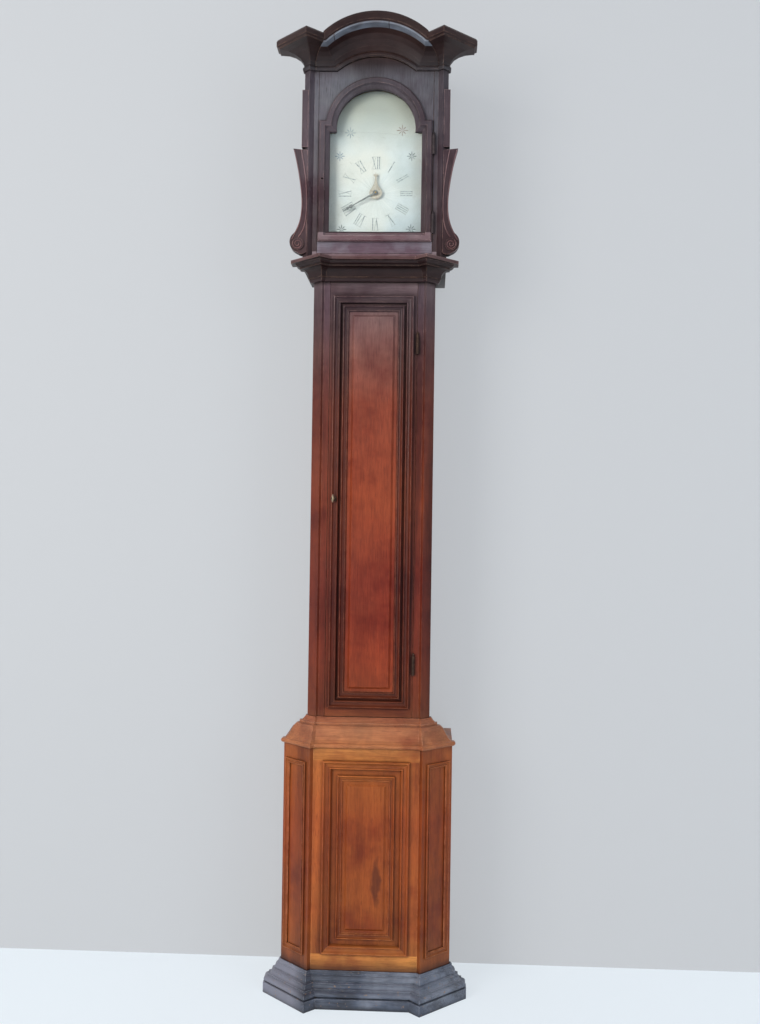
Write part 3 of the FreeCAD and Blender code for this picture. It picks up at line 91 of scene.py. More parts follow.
camera_data = bpy.data.cameras.new("camera")
camera_data.sensor_fit = "VERTICAL"
camera_data.sensor_height = SENSOR / MM
camera_data.lens = FOCAL_PIXELS / PHOTO_HEIGHT * SENSOR / MM
camera = bpy.data.objects.new("camera", camera_data)
bpy.context.scene.collection.objects.link(camera)
camera.matrix_world = (
    Matrix.Translation((EYE_RIGHT, base_front_y - EYE_DISTANCE, EYE_HEIGHT))
    @ Matrix.Rotation(TURN_LEFT, 4, "Z")
    @ Matrix.Rotation(math.radians(90) + TILT_UP, 4, "X")
    @ Matrix.Rotation(ROLL, 4, "Z")
)
bpy.context.scene.camera = camera
looking_from = [round(value, 3) for value in camera.location]
print("lens", round(camera_data.lens, 2), "mm, looking from", looking_from)

# %% [markdown]
# ## Colours
#
# Colours are written as they are read from a picture, from 0 to 255, and turned into the
# linear values that a shader works with.

# %% Colour helper


def paint(red, green, blue):
    """A picture's colour as linear values for a shader."""
    values = []
    for level in (red, green, blue):
        share = level / 255
        values.append(share / 12.92 if share <= 0.04045 else ((share + 0.055) / 1.055) ** 2.4)
    return (*values, 1.0)


print("a mid grey of 128 is", round(paint(128, 128, 128)[0], 3), "to a shader")

# %% [markdown]
# ## Node helpers
#
# Every material here is a small network of nodes, and each could be wired by hand, one link at a
# time. A few helpers keep the cells short instead. They make a material, add a node, and give
# each of its inputs either a plain value or another node's output.

# %% A material and its nodes


def new_material(name):
    """A material with a Principled shader wired to its output."""
    material = bpy.data.materials.new(name)
    material.use_nodes = True
    tree = material.node_tree
    return material, tree, tree.nodes["Principled BSDF"]


def set_inputs(tree, node, sockets):
    """Give each input its value, or wire it to another node's output."""
    for key, value in sockets.items():
        if isinstance(value, bpy.types.NodeSocket):
            tree.links.new(value, node.inputs[key])
        else:
            node.inputs[key].default_value = value


def add_node(tree, kind, sockets=None, **settings):
    """Add a node. settings are its properties and sockets are its inputs."""
    node = tree.nodes.new("ShaderNode" + kind)
    for key, value in settings.items():
        setattr(node, key, value)
    set_inputs(tree, node, sockets or {})
    return node


print("made: new_material, set_inputs, add_node")

# %% Places, patterns and sums


def object_point(tree):
    """The point that is shaded, in the object's own metres."""
    return add_node(tree, "TexCoord").outputs["Object"]


def noise(tree, point, scale, detail, roughness=0.5, distortion=0.0):
    """A cloudy pattern, from 0 to 1."""
    sockets = {"Vector": point, "Scale": scale, "Detail": detail, "Roughness": roughness}
    return add_node(tree, "TexNoise", {**sockets, "Distortion": distortion}).outputs["Fac"]


def work_out(tree, operation, first, second, clamp=False):
    """The result of one sum on two values."""
    node = add_node(tree, "Math", {0: first, 1: second}, operation=operation, use_clamp=clamp)
    return node.outputs[0]


def work_out_vector(tree, operation, first, second):
    """The result of one sum on two vectors."""
    return add_node(tree, "VectorMath", {0: first, 1: second}, operation=operation).outputs[0]


def remap(tree, value, low, high, to_low=0.0, to_high=1.0):
    """A value's range stretched or turned round to another."""
    sockets = {"Value": value, "From Min": low, "From Max": high, "To Min": to_low, "To Max": to_high}
    return add_node(tree, "MapRange", sockets).outputs["Result"]


print("made: object_point, noise, work_out, work_out_vector, remap")

# %% Mixing values and colours


def blend_values(tree, share, first, second):
    """One value or the other, by a share."""
    return add_node(tree, "Mix", {0: share, 2: first, 3: second}, data_type="FLOAT").outputs[0]


def blend_colours(tree, share, first, second, kind="MIX"):
    """The result of mixing two colours by a share."""
    node = add_node(tree, "Mix", {0: share, 6: first, 7: second}, data_type="RGBA", blend_type=kind)
    return node.outputs[2]


def tinted(tree, colour, tint):
    """A colour multiplied by another."""
    return blend_colours(tree, 1.0, colour, tint, "MULTIPLY")


def lay_over(tree, mask, strength, under, over):
    """One colour over another where a mask says so, by a strength."""
    return blend_colours(tree, work_out(tree, "MULTIPLY", mask, strength), under, over)


def ramp(tree, value, stops):
    """A colour read off a list of (place, colour) stops."""
    node = add_node(tree, "ValToRGB", {"Fac": value})
    elements = node.color_ramp.elements
    elements[0].position, elements[0].color = stops[0]
    elements[1].position, elements[1].color = stops[-1]
    for place, colour in stops[1:-1]:
        elements.new(place).color = colour
    return node.outputs["Color"]


print("made: blend_values, blend_colours, tinted, lay_over, ramp")

# %% Groups and bumps


def new_group(name, inputs, outputs):
    """A node group with named inputs (name, kind, default) and outputs (name, kind)."""
    group = bpy.data.node_groups.new(name, "ShaderNodeTree")
    for label, kind, default in inputs:
        socket = group.interface.new_socket(label, in_out="INPUT", socket_type="NodeSocket" + kind)
        socket.default_value = default
    for label, kind in outputs:
        group.interface.new_socket(label, in_out="OUTPUT", socket_type="NodeSocket" + kind)
    source = group.nodes.new("NodeGroupInput")
    sink = group.nodes.new("NodeGroupOutput")
    return group, source.outputs, sink


def place_group(tree, group, sockets):
    """Put a group into a material and give back its outputs."""
    return add_node(tree, "Group", sockets, node_tree=group).outputs


def emboss(tree, shader, height, strength, depth, soften=None):
    """Let a height raise the surface a little. soften is a radius that first rounds its edges."""
    bump = add_node(tree, "Bump", {"Height": height, "Strength": strength, "Distance": depth})
    if soften:
        rounded = add_node(tree, "Bevel", {"Radius": soften}, samples=8).outputs["Normal"]
        tree.links.new(rounded, bump.inputs["Normal"])
    tree.links.new(bump.outputs["Normal"], shader.inputs["Normal"])


print("made: new_group, place_group, emboss")

# %% [markdown]
# ## Wood grain
#
# Waxed wood shows three things at once: broad soft figure along the board, fine fibres, and
# short dark pores. Each is a noise pattern that is stretched along the grain. The group takes
# the point and how much it is stretched each way, so that the same group serves a stile, whose
# grain stands up, and a rail, whose grain lies across.

# %% Group: wood grain
FIGURE_SCALE, FIBRE_SCALE, PORE_SCALE = 0.16, 3.4, 5.5
FIGURE_SHARE, FIBRE_SHARE, FIBRE_HEIGHT = 0.34, 0.22, 0.35
grain_group, grain_in, grain_sink = new_group(
    "wood_grain",
    [("Point", "Vector", (0, 0, 0)), ("Stretch", "Vector", (1, 1, 1)), ("Figure", "Float", 1.0)],
    [("Tone", "Float"), ("Pores", "Float"), ("Height", "Float")],
)
stretched = work_out_vector(grain_group, "MULTIPLY", grain_in["Point"], grain_in["Stretch"])
broad = noise(grain_group, stretched, scale=FIGURE_SCALE, detail=3.0, distortion=0.9)
broad = remap(grain_group, broad, 0.3, 0.7, to_low=-1, to_high=1)
figure = work_out(grain_group, "MULTIPLY", broad, grain_in["Figure"])
figure_tone = work_out(grain_group, "MULTIPLY", figure, FIGURE_SHARE)
fibres = noise(grain_group, stretched, scale=FIBRE_SCALE, detail=6.0, roughness=0.65)
fibres = remap(grain_group, fibres, 0.3, 0.7, to_low=-1, to_high=1)
tone = work_out(grain_group, "ADD", figure_tone, work_out(grain_group, "MULTIPLY", fibres, FIBRE_SHARE))
tone = work_out(grain_group, "ADD", tone, 0.5, clamp=True)
pores = noise(grain_group, stretched, scale=PORE_SCALE, detail=2.0)
pores = remap(grain_group, pores, 0.62, 0.70)
height = work_out(grain_group, "MULTIPLY", fibres, FIBRE_HEIGHT)
height = work_out(grain_group, "SUBTRACT", height, pores)
set_inputs(grain_group, grain_sink, {"Tone": tone, "Pores": pores, "Height": height})
print("grain group:", len(grain_group.nodes), "nodes")

# %% [markdown]
# ## Worn and lit edges, grime and painted shade
#
# Two centuries of hands and dusters take the stain off every edge, and wax and dust gather in
# the quirks of the mouldings. Both are partly painted light as well: the pale edges are also a
# painted highlight, and the dark quirks are also painted shade. An edge is found by comparing the
# true normal with one that is rounded over a millimetre or two. A quirk is found by how much of
# the sky a point can see.
# Blotches and patches are noise, and they vary the wax over a board.

# %% Group: worn and lit edges, grime and painted shade
SCUFF_SCALE, BLOTCH_SCALE, PATCH_SCALE = 45.0, 7.0, 17.0
wear_group, wear_in, wear_sink = new_group(
    "wear_and_grime",
    [("Point", "Vector", (0, 0, 0)), ("Edge", "Float", 2.4 * MM), ("Reach", "Float", 18.0 * MM)],
    [("Edges", "Float"), ("Grime_and_shade", "Float"), ("Blotch", "Float"), ("Patch", "Float")],
)
rounded = add_node(wear_group, "Bevel", {"Radius": wear_in["Edge"]}, samples=4).outputs["Normal"]
true_normal = add_node(wear_group, "NewGeometry").outputs["Normal"]
turned = add_node(wear_group, "VectorMath", {0: rounded, 1: true_normal}, operation="DOT_PRODUCT")
edge = remap(wear_group, turned.outputs["Value"], 0.975, 0.88)
# Hollows that see little sky are darkened, which paints their shade together with their grime.
open_sky = add_node(wear_group, "AmbientOcclusion", {"Distance": wear_in["Reach"]}, samples=6)
hollow = remap(wear_group, open_sky.outputs["AO"], 0.82, 0.32)
outer_edge = work_out(wear_group, "SUBTRACT", edge, hollow, clamp=True)
scuffs = noise(wear_group, wear_in["Point"], scale=SCUFF_SCALE, detail=5.0, roughness=0.7)
scuffs = remap(wear_group, scuffs, 0.38, 0.62)
blotch = noise(wear_group, wear_in["Point"], scale=BLOTCH_SCALE, detail=4.0, roughness=0.6)
blotch = remap(wear_group, blotch, 0.3, 0.7)
patch = noise(wear_group, wear_in["Point"], scale=PATCH_SCALE, detail=5.0, roughness=0.65, distortion=0.6)
patch = remap(wear_group, patch, 0.35, 0.65)
# The pale edges stand for wear and for a painted highlight.
worn_and_lit_edge = work_out(wear_group, "MULTIPLY", outer_edge, scuffs)
set_inputs(wear_group, wear_sink, {"Edges": worn_and_lit_edge, "Grime_and_shade": hollow, "Blotch": blotch, "Patch": patch})
print("wear group:", len(wear_group.nodes), "nodes")

# %% [markdown]
# ## The colour and painted light of the case by height
#
# The base has been bleached to honey, the trunk is red brown and grows darker and bluer towards
# the hood, and the hood is a dark brown that looks purplish. The blue on the upper trunk and the
# hood is a painted reflection of the sky on the wax, and the near-black bands of the waist and of
# the cornice's hollow are painted shade under their overhangs. One list of colours by height holds
# all that, and every wooden part reads it, so the colour runs on from piece to piece without a step.

# %% Stain and painted light by height
CASE_STAIN_AND_LIGHT = [
    # plinth
    (0.00, paint(96, 52, 30)), (0.082, paint(84, 48, 30)),
    # base
    (0.10, paint(156, 94, 48)), (0.20, paint(158, 86, 40)),
    (0.45, paint(152, 76, 36)), (0.60, paint(166, 96, 46)),
    # cap
    (0.68, paint(160, 98, 60)),
    # trunk, bluer towards the top with a painted reflection of the sky
    (0.72, paint(136, 66, 36)), (0.85, paint(136, 56, 32)), (1.05, paint(126, 50, 34)),
    (1.25, paint(144, 66, 40)), (1.50, paint(128, 62, 46)), (1.62, paint(118, 76, 72)),
    (1.74, paint(104, 82, 90)), (1.80, paint(116, 98, 106)),
    # waist, darkened with painted shade under the hood
    (1.812, paint(46, 30, 30)), (1.85, paint(46, 30, 30)),
    # hood, dark brown with a painted bluish reflection of the sky
    (1.87, paint(70, 56, 60)), (1.945, paint(84, 76, 82)),
    (2.20, paint(92, 91, 101)), (2.32, paint(88, 90, 100)),
    # cornice, its hollow darkened with painted shade
    (2.36, paint(46, 36, 38)), (2.40, paint(62, 44, 43)),
]


def stain_and_light_by_height(tree, point):
    """The case's colour at a point, from its height, with its painted light and shade."""
    height = add_node(tree, "SeparateXYZ", {0: point}).outputs["Z"]
    share = remap(tree, height, 0.0, case_top)
    return ramp(tree, share, [(z / case_top, colour) for z, colour in CASE_STAIN_AND_LIGHT])


print("stain:", len(CASE_STAIN_AND_LIGHT), "colours, the last at", CASE_STAIN_AND_LIGHT[-1][0], "m")

# %% [markdown]
# ## Which way the grain runs
#
# A cabinetmaker lays the grain along the length of every piece. The solids of a frame hold
# both its upright stiles and its level rails, so the finish has to tell them apart. A moulding
# is mitred, and its grain turns at 45 degrees in each corner. A door or a front is framed, and
# its rails lie above and below the panel.

# %% Grain directions
ALONG, ACROSS = 7.0, 90.0
STRETCH = {
    "up": (ACROSS, ACROSS, ALONG),
    "level": (ALONG, ACROSS, ACROSS),
    "deep": (ACROSS, ALONG, ACROSS),
}


def is_rail(tree, point, centre_z, half_x, half_z, mitred):
    """1 where a frame's piece is a level rail and 0 where it is an upright stile."""
    parts = add_node(tree, "SeparateXYZ", {0: point}).outputs
    beyond = work_out(tree, "ABSOLUTE", work_out(tree, "SUBTRACT", parts["Z"], centre_z), 0)
    beyond = work_out(tree, "SUBTRACT", beyond, half_z)
    if mitred:
        beside = work_out(tree, "SUBTRACT", work_out(tree, "ABSOLUTE", parts["X"], 0), half_x)
        beyond = work_out(tree, "SUBTRACT", beyond, beside)
    return work_out(tree, "GREATER_THAN", beyond, 0)


print("the grain can run:", ", ".join(STRETCH))

# %% Grain, and colour with painted light, of a piece


def lay_grain(tree, point, lay, figure, rail=None):
    """The grain's tone, pores and height, laid level where rail is 1."""
    grain = place_group(tree, grain_group, {"Point": point, "Stretch": STRETCH[lay], "Figure": figure})
    parts = [grain[part] for part in ("Tone", "Pores", "Height")]
    if rail is None:
        return parts
    level = lay_grain(tree, point, "level", figure)
    return [blend_values(tree, rail, *pair) for pair in zip(parts, level)]


def lay_stain_and_light(tree, point, shade, tint, rail_tint, rail=None):
    """The case's colour with its painted light, shaded and tinted, and tinted once more where rail is 1.
    """
    case_colour = tinted(tree, stain_and_light_by_height(tree, point), (*(shade * part for part in tint), 1))
    if rail is None:
        return case_colour
    return blend_colours(tree, rail, case_colour, tinted(tree, case_colour, (*rail_tint, 1)))


print("made: lay_grain, lay_stain_and_light")

# %% [markdown]
# ## Waxed wood
#
# One function makes each wooden finish. It lays the grain and the case's colour with its painted
# light, mottles it with blotches and thin patches of wax, rubs the edges pale with a painted highlight,
# fills the hollows with dark wax and painted shade, and varies the gloss. The bump is very small:
# waxed wood is nearly smooth and only its pores catch the light. Where a worn moulding needs softer
# steps, its edges are rounded in the shading too.

# %% Wax over the stain
DARK_GRAIN, LIGHT_GRAIN = (0.50, 0.42, 0.40, 1), (1.32, 1.30, 1.22, 1)
BLOTCHES = [(0.1, (0.62, 0.44, 0.48, 1)), (0.5, (0.94, 0.90, 0.90, 1)), (0.9, (1.06, 1.08, 1.04, 1))]
THIN_WAX = (1.42, 1.36, 1.28, 1)
BRIGHTENED = (2.4, 2.4, 2.4, 1)
BARE_AND_LIT_EDGE, BARE_AND_LIT_EDGE_SHARE = paint(204, 158, 128), 0.3
WAX_AND_SHADE_DARK = paint(20, 11, 9)
PORE_DARKNESS = 0.55


def wax_over(tree, case_colour, tone, pores, wear, patchy, worn, grime):
    """The case colour with its grain, blotches, thin patches, edges paled by wear and a painted highlight,
    and hollows darkened by wax and painted shade.
    """
    dark = tinted(tree, case_colour, DARK_GRAIN)
    colour = blend_colours(tree, tone, dark, tinted(tree, case_colour, LIGHT_GRAIN))
    colour = tinted(tree, colour, ramp(tree, wear["Blotch"], BLOTCHES))
    colour = lay_over(tree, wear["Patch"], patchy, colour, tinted(tree, colour, THIN_WAX))
    colour = lay_over(tree, pores, PORE_DARKNESS, colour, dark)
    # Edges turn pale, for wear and as a painted highlight.
    pale = blend_colours(tree, BARE_AND_LIT_EDGE_SHARE, tinted(tree, case_colour, BRIGHTENED), BARE_AND_LIT_EDGE)
    colour = lay_over(tree, wear["Edges"], worn, colour, pale)
    # Hollows turn dark, for wax and as painted shade.
    return lay_over(tree, wear["Grime_and_shade"], grime, colour, WAX_AND_SHADE_DARK)


print("made: wax_over, with", len(BLOTCHES), "shades of blotch")

# %% Waxed wood
WOOD_SHEEN = 0.26
WAX_DULLER, WAX_GLOSSIER, GRIME_DULLS = 0.12, 0.06, 0.2


def waxed_wood(name, lay="up", shade=1.0, tint=(1, 1, 1), figure=1.0, frame_of=None, mitred=True,
               rail_tint=(1, 1, 1), worn=0.45, grime=0.75, rough=0.36, patchy=0.5, soften=None):
    """A waxed finish. frame_of is (centre_z, half_x, half_z) on a piece with stiles and rails."""
    material, tree, shader = new_material(name)
    point = object_point(tree)
    rail = is_rail(tree, point, *frame_of, mitred) if frame_of else None
    tone, pores, height = lay_grain(tree, point, lay, figure, rail)
    case_colour = lay_stain_and_light(tree, point, shade, tint, rail_tint, rail)
    wear = place_group(tree, wear_group, {"Point": point})
    colour = wax_over(tree, case_colour, tone, pores, wear, patchy, worn, grime)
    dullness = remap(tree, wear["Blotch"], 0, 1, to_low=rough - WAX_GLOSSIER, to_high=rough + WAX_DULLER)
    dull_grime = work_out(tree, "MULTIPLY", wear["Grime_and_shade"], GRIME_DULLS)
    dullness = work_out(tree, "ADD", dullness, dull_grime)
    set_inputs(tree, shader, {"Base Color": colour, "Roughness": dullness})
    shader.inputs["Specular IOR Level"].default_value = WOOD_SHEEN
    emboss(tree, shader, height, strength=0.35, depth=0.2 * MM, soften=soften)
    return material


print("made: waxed_wood")

# %% [markdown]
# ## Dressing the solids
#
# A solid of the construction model keeps its shape, and only the material in its slots changes.
# The middle and half sizes that tell rails from stiles are measured on the solids, so they
# follow the model. Where only a height parts the two, all that lies below it or above it
# counts as rail.

# %% Dressing helpers


def dress(material, *nodes):
    """Give construction nodes a finish."""
    for name in nodes:
        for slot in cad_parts[name].material_slots:
            slot.material = material
    print(material.name, "on", ", ".join(nodes))


def wax(name, *nodes, **look):
    """Make a waxed finish, dress nodes in it and give it back."""
    material = waxed_wood(name, **look)
    dress(material, *nodes)
    return material


def ring_of(node):
    """Middle height and half sizes of a frame, for telling its rails from its stiles."""
    low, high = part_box(node)
    return (low[2] + high[2]) / 2, high[0], (high[2] - low[2]) / 2


def all_below(height):
    """A frame whose rails are all that lies below a height."""
    return case_top, 0, case_top - height


def all_above(height):
    """A frame whose rails are all that lies above a height."""
    return 0, 0, height


print("the base's ring of moulding:", [round(value, 3) for value in ring_of("base_panel_moulding")])

# %% [markdown]
# ## Dressing the base
#
# The base's front is a frame round a fielded panel. Its rails are a lighter, yellower wood
# than its stiles. The mouldings are given a darker finish, and the cap a bluish tint that is a painted
# sheen of the sky on its upward faces.

# %% Base
base_ring = ring_of("base_panel_moulding")
wax("base_frame_wax", "base_front_frame", frame_of=base_ring, mitred=False,
    rail_tint=(1.4, 1.75, 1.75), shade=0.98, figure=1.5)
base_field = wax("base_panel_wax", "base_front_panel", shade=0.90, tint=(1.0, 0.94, 0.76),
                 figure=0.8, patchy=0.3)
wax("base_moulding_wax", "base_panel_moulding", "base_canted_mouldings", frame_of=base_ring,
    rail_tint=(1.3, 1.5, 1.5), shade=0.74, tint=(1.0, 0.9, 0.86), worn=1.0)
wax("base_cant_wax", "base_canted_boards", shade=0.66, tint=(1.0, 0.84, 0.74), figure=1.8)
wax("base_side_wax", "base_sides", shade=0.78)
# The cap's bluish tint is a painted sheen of the sky.
wax("cap_wax", "cap_moulding", lay="level", shade=0.98, tint=(1.0, 1.18, 1.60), worn=1.0,
    grime=1.0, patchy=1.0, soften=1.5 * MM)

# %% [markdown]
# ## A dark flame in the base's field
#
# A knot lay just below the surface of the base's board, and a dark, flame-shaped streak rises
# from it. It is an upright oval whose rim is pulled about by noise.

# %% Streak in the field
STREAK_X, STREAK_Z, STREAK_HALF, STREAK_TALL = 30.0 * MM, 300.0 * MM, 12.0 * MM, 66.0 * MM
STREAK_PULL = (30.0 * MM, 0.0, 60.0 * MM)
STREAK_BROWN, STREAK_STRENGTH = paint(62, 26, 18), 0.62


def colour_over(material, share, colour):
    """Lay one more colour over a finish, by a share."""
    tree = material.node_tree
    target = tree.nodes["Principled BSDF"].inputs["Base Color"]
    tree.links.new(blend_colours(tree, share, target.links[0].from_socket, colour), target)


def dark_streak(material):
    """Lay the dark streak over a finish."""
    tree = material.node_tree
    point = object_point(tree)
    pull = add_node(tree, "TexNoise", {"Vector": point, "Scale": 24.0, "Detail": 3.0}).outputs["Color"]
    pull = work_out_vector(tree, "SUBTRACT", pull, (0.5, 0.5, 0.5))
    moved = work_out_vector(tree, "ADD", point, work_out_vector(tree, "MULTIPLY", pull, STREAK_PULL))
    parts = add_node(tree, "SeparateXYZ", {0: moved}).outputs
    squares = []
    for part, middle, half in (("X", STREAK_X, STREAK_HALF), ("Z", STREAK_Z, STREAK_TALL)):
        away = work_out(tree, "DIVIDE", work_out(tree, "SUBTRACT", parts[part], middle), half)
        squares.append(work_out(tree, "MULTIPLY", away, away))
    inside = remap(tree, work_out(tree, "ADD", *squares), 1.0, 0.35, to_high=STREAK_STRENGTH)
    colour_over(material, inside, STREAK_BROWN)


dark_streak(base_field)
print("streak at height", STREAK_Z)

# %% [markdown]
# ## Dressing the trunk
#
# The door's field is the brightest wood of the trunk, an orange red with upright figure. The
# stiles round it are nearly plum. The waist moulding above is dark, and darkened nearly to black
# with painted shade under the hood, and its top edge, on which the hood slides, is made pale with
# a painted highlight.

# %% Trunk and waist
door_ring = ring_of("trunk_door_moulding")
wax("door_frame_wax", "trunk_door_frame", frame_of=door_ring, mitred=False,
    rail_tint=(1.2, 1.25, 1.25), shade=0.62, figure=1.8)
wax("door_panel_wax", "trunk_door_panel", shade=1.12, tint=(1.0, 0.98, 0.86), figure=0.9, patchy=0.35)
wax("door_moulding_wax", "trunk_door_moulding", frame_of=door_ring, shade=0.50, worn=1.0)
wax("trunk_stile_wax", "trunk_front_frame", shade=0.56, tint=(1.0, 1.0, 1.1), figure=1.8)
wax("trunk_cant_wax", "trunk_canted_boards", shade=0.54, figure=1.8)
wax("trunk_side_wax", "trunk_sides", shade=0.74)
WAIST_LIP = 8.0 * MM
lip_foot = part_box("waist_moulding")[1][2] - WAIST_LIP
# Nearly black is partly painted shade, and the pale lip is a painted highlight.
wax("waist_wax", "waist_moulding", lay="level", frame_of=all_above(lip_foot), mitred=False,
    rail_tint=(3.2, 3.4, 3.2), shade=0.72, tint=(1.0, 0.94, 0.96), worn=1.0, soften=2.0 * MM)

# %% [markdown]
# ## Dressing the hood
#
# The hood's surface is older varnish, darker and a little glossier than the trunk. On the sill and
# on the lower rail and bead of the door it is made pale and bluish, a painted reflection of the sky
# on the wax. Each of these lies below a height, which is measured on the door.

# %% Hood
SILL_RISE, BEAD_WIDE = 4.0 * MM, 22.0 * MM
sill_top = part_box("hood_door_frame")[0][2] + SILL_RISE
bead_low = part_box("hood_door_moulding")[0][2]
bead_top = bead_low + BEAD_WIDE
# These rail tints paint the sky's pale reflection.
wax("hood_wax", "hood_front_frame", frame_of=all_below(sill_top), mitred=False,
    rail_tint=(3.6, 4.4, 4.5), rough=0.3)
wax("hood_cant_wax", "hood_canted_boards", "hood_sides", shade=0.72, tint=(1.0, 0.86, 0.9), rough=0.3)
wax("hood_door_wax", "hood_door_frame", frame_of=all_below(bead_low), mitred=False,
    rail_tint=(3.1, 4.2, 4.6), rough=0.3, figure=0.9)
wax("hood_bead_wax", "hood_door_moulding", frame_of=all_below(bead_top), mitred=False,
    rail_tint=(4.2, 5.0, 4.8), shade=0.66, tint=(1.0, 0.84, 0.86), worn=1.0)
wax("frieze_wax", "hood_frieze", lay="level", shade=0.95, rough=0.3)
# The cornice's hollow is darkened with painted shade, through the colour by height.
cornice_finish = wax("cornice_wax", "cornice_front", lay="level", shade=0.66, worn=1.0, soften=5.0 * MM)
wax("cornice_return_wax", "cornice_returns", lay="deep", shade=0.74, worn=0.9, soften=5.0 * MM)
wax("bonnet_wax", "hood_bonnet", lay="deep", shade=0.8, worn=0.3)
wax("console_wax", "hood_consoles", "hood_side_strips", shade=0.70, tint=(1.12, 0.86, 0.88), worn=1.0)
print("wooden finishes:", sum(1 for m in bpy.data.materials if m.name.endswith("_wax")))

# %% [markdown]
# ## Painted sheen and dust on the cornice
#
# The underside of the cornice's top edge shows as a pale, bluish band that follows the arch and
# is broken by two joints. The band is painted: a reflection of the sky on that face, together with
# dust. It lies at its own depth between the hollow and the edge, so the depth is enough to find
# it, and it ends where the corners begin.

# %% Pale strip of the cornice
STRIP_MIDDLE, STRIP_TOLERANCE, STRIP_END = 17.0 * MM, 11.5 * MM, 160.0 * MM
JOINTS, JOINT_WIDE = (-104.0 * MM, 32.0 * MM), 0.9 * MM
STRIP_GREY = paint(126, 132, 142)
strip_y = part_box("cornice_front")[0][1] + STRIP_MIDDLE


def near(tree, value, middle, tolerance):
    """1 where a value is within a tolerance of a middle."""
    return add_node(tree, "Math", {0: value, 1: middle, 2: tolerance}, operation="COMPARE").outputs[0]


def pale_strip(material):
    """Lay the pale strip over a finish."""
    tree = material.node_tree
    point = object_point(tree)
    parts = add_node(tree, "SeparateXYZ", {0: point}).outputs
    within = work_out(tree, "LESS_THAN", work_out(tree, "ABSOLUTE", parts["X"], 0), STRIP_END)
    on_strip = work_out(tree, "MULTIPLY", near(tree, parts["Y"], strip_y, STRIP_TOLERANCE), within)
    for joint_x in JOINTS:
        joint = near(tree, parts["X"], joint_x, JOINT_WIDE)
        on_strip = work_out(tree, "SUBTRACT", on_strip, joint, clamp=True)
    # The painted reflection and dust lie unevenly along the strip.
    strip_strength = noise(tree, point, scale=26.0, detail=4.0)
    strip_strength = remap(tree, strip_strength, 0.35, 0.6, to_low=0.45, to_high=0.95)
    colour_over(material, work_out(tree, "MULTIPLY", on_strip, strip_strength), STRIP_GREY)


pale_strip(cornice_finish)
print("pale strip at depth", round(strip_y, 4))

# %% [markdown]
# ## From a curve to a piece
#
# The carved beads, the rope and its knot are all round rods on a line. Such a rod is easiest as a
# curve with a round section. It is turned into a mesh at once, because a finished piece has its
# shape in its mesh and its object at the origin.

# %% Curve helpers


def round_rod(name, radius, roundness):
    """An empty curve in space with a round section and closed ends."""
    curve = bpy.data.curves.new(name, "CURVE")
    curve.dimensions = "3D"
    curve.bevel_depth = radius
    curve.bevel_resolution = roundness
    curve.use_fill_caps = True
    return curve


def smooth_run(curve, route, resolution):
    """One smooth run along a route, from its first point to its last."""
    spline = curve.splines.new("NURBS")
    spline.points.add(len(route) - 1)
    for knot, place in zip(spline.points, route):
        knot.co = (*place, 1.0)
    spline.order_u = 3
    spline.use_endpoint_u = True
    spline.resolution_u = resolution


def mesh_of(curve):
    """A curve's shape as a mesh of the same name. The curve is removed."""
    name = curve.name
    holder = bpy.data.objects.new(name, curve)
    data = bpy.data.meshes.new_from_object(holder)
    bpy.data.objects.remove(holder)
    bpy.data.curves.remove(curve)
    data.name = name
    return data


def new_piece(data, material):
    """A mesh with its finish as an object of the same name in the scene."""
    data.materials.append(material)
    piece = bpy.data.objects.new(data.name, data)
    bpy.context.scene.collection.objects.link(piece)
    return piece


print("made: round_rod, smooth_run, mesh_of, new_piece")

# %% [markdown]
# ## Beads and spirals of the consoles
#
# Each console is an S-shaped scroll. A round bead runs down its outer edge, curls up at the
# foot and ends in an eye, and a second bead runs beside it. The points of each line are
# millimetres from the clock's middle and above the hood's foot. The left side is the right side
# in a mirror.

# %% Lines of the beads
EDGES = {
    "outer": [(205, 272), (197, 240), (188, 190), (183, 147),
              (184, 110), (190, 84), (200, 62), (208, 46)],
    "inner": [(187, 272), (180, 236), (174, 190), (171.5, 147),
              (172, 112), (176, 82), (184, 62), (192, 52)],
}
VOLUTE_X, VOLUTE_RISE, VOLUTE_RADIUS, VOLUTE_LIFT = 193.0 * MM, 34.0 * MM, 15.0 * MM, 4.0 * MM
VOLUTE_TURNS, VOLUTE_START, VOLUTE_POINTS = 1.75, math.radians(50), 24
BEAD_RADIUS, EYE_RADIUS = 1.7 * MM, 3.0 * MM
hood_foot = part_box("hood_front_frame")[0][2]
volute_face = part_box("hood_consoles")[0][1]
console_face = volute_face + VOLUTE_LIFT


def scroll():
    """A spiral from the volute's rim in to its eye."""
    line = []
    for step in range(VOLUTE_POINTS + 1):
        share = step / VOLUTE_POINTS
        radius = (VOLUTE_RADIUS - BEAD_RADIUS) * (1 - share) + EYE_RADIUS * share
        angle = VOLUTE_START - math.tau * VOLUTE_TURNS * share
        line.append((VOLUTE_X + radius * math.cos(angle), VOLUTE_RISE + radius * math.sin(angle)))
    return line


print("console faces at depths", round(volute_face, 4), "and", round(console_face, 4))

# %% Console beads
# The beads are a lighter finish than the console, which paints the highlight a raised bead catches.
bead_wax = waxed_wood("bead_wax", shade=1.5, tint=(1.2, 0.86, 0.80), figure=0.6, worn=0.9, grime=1.0)


def bead(name, flat, face_y, side):
    """A round bead on a face, along a smooth line of (x, height) points."""
    rod = round_rod(name, BEAD_RADIUS, roundness=3)
    smooth_run(rod, [(side * x, face_y, hood_foot + height) for x, height in flat], resolution=6)
    piece = new_piece(mesh_of(rod), bead_wax)
    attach(piece, "hood")
    return piece


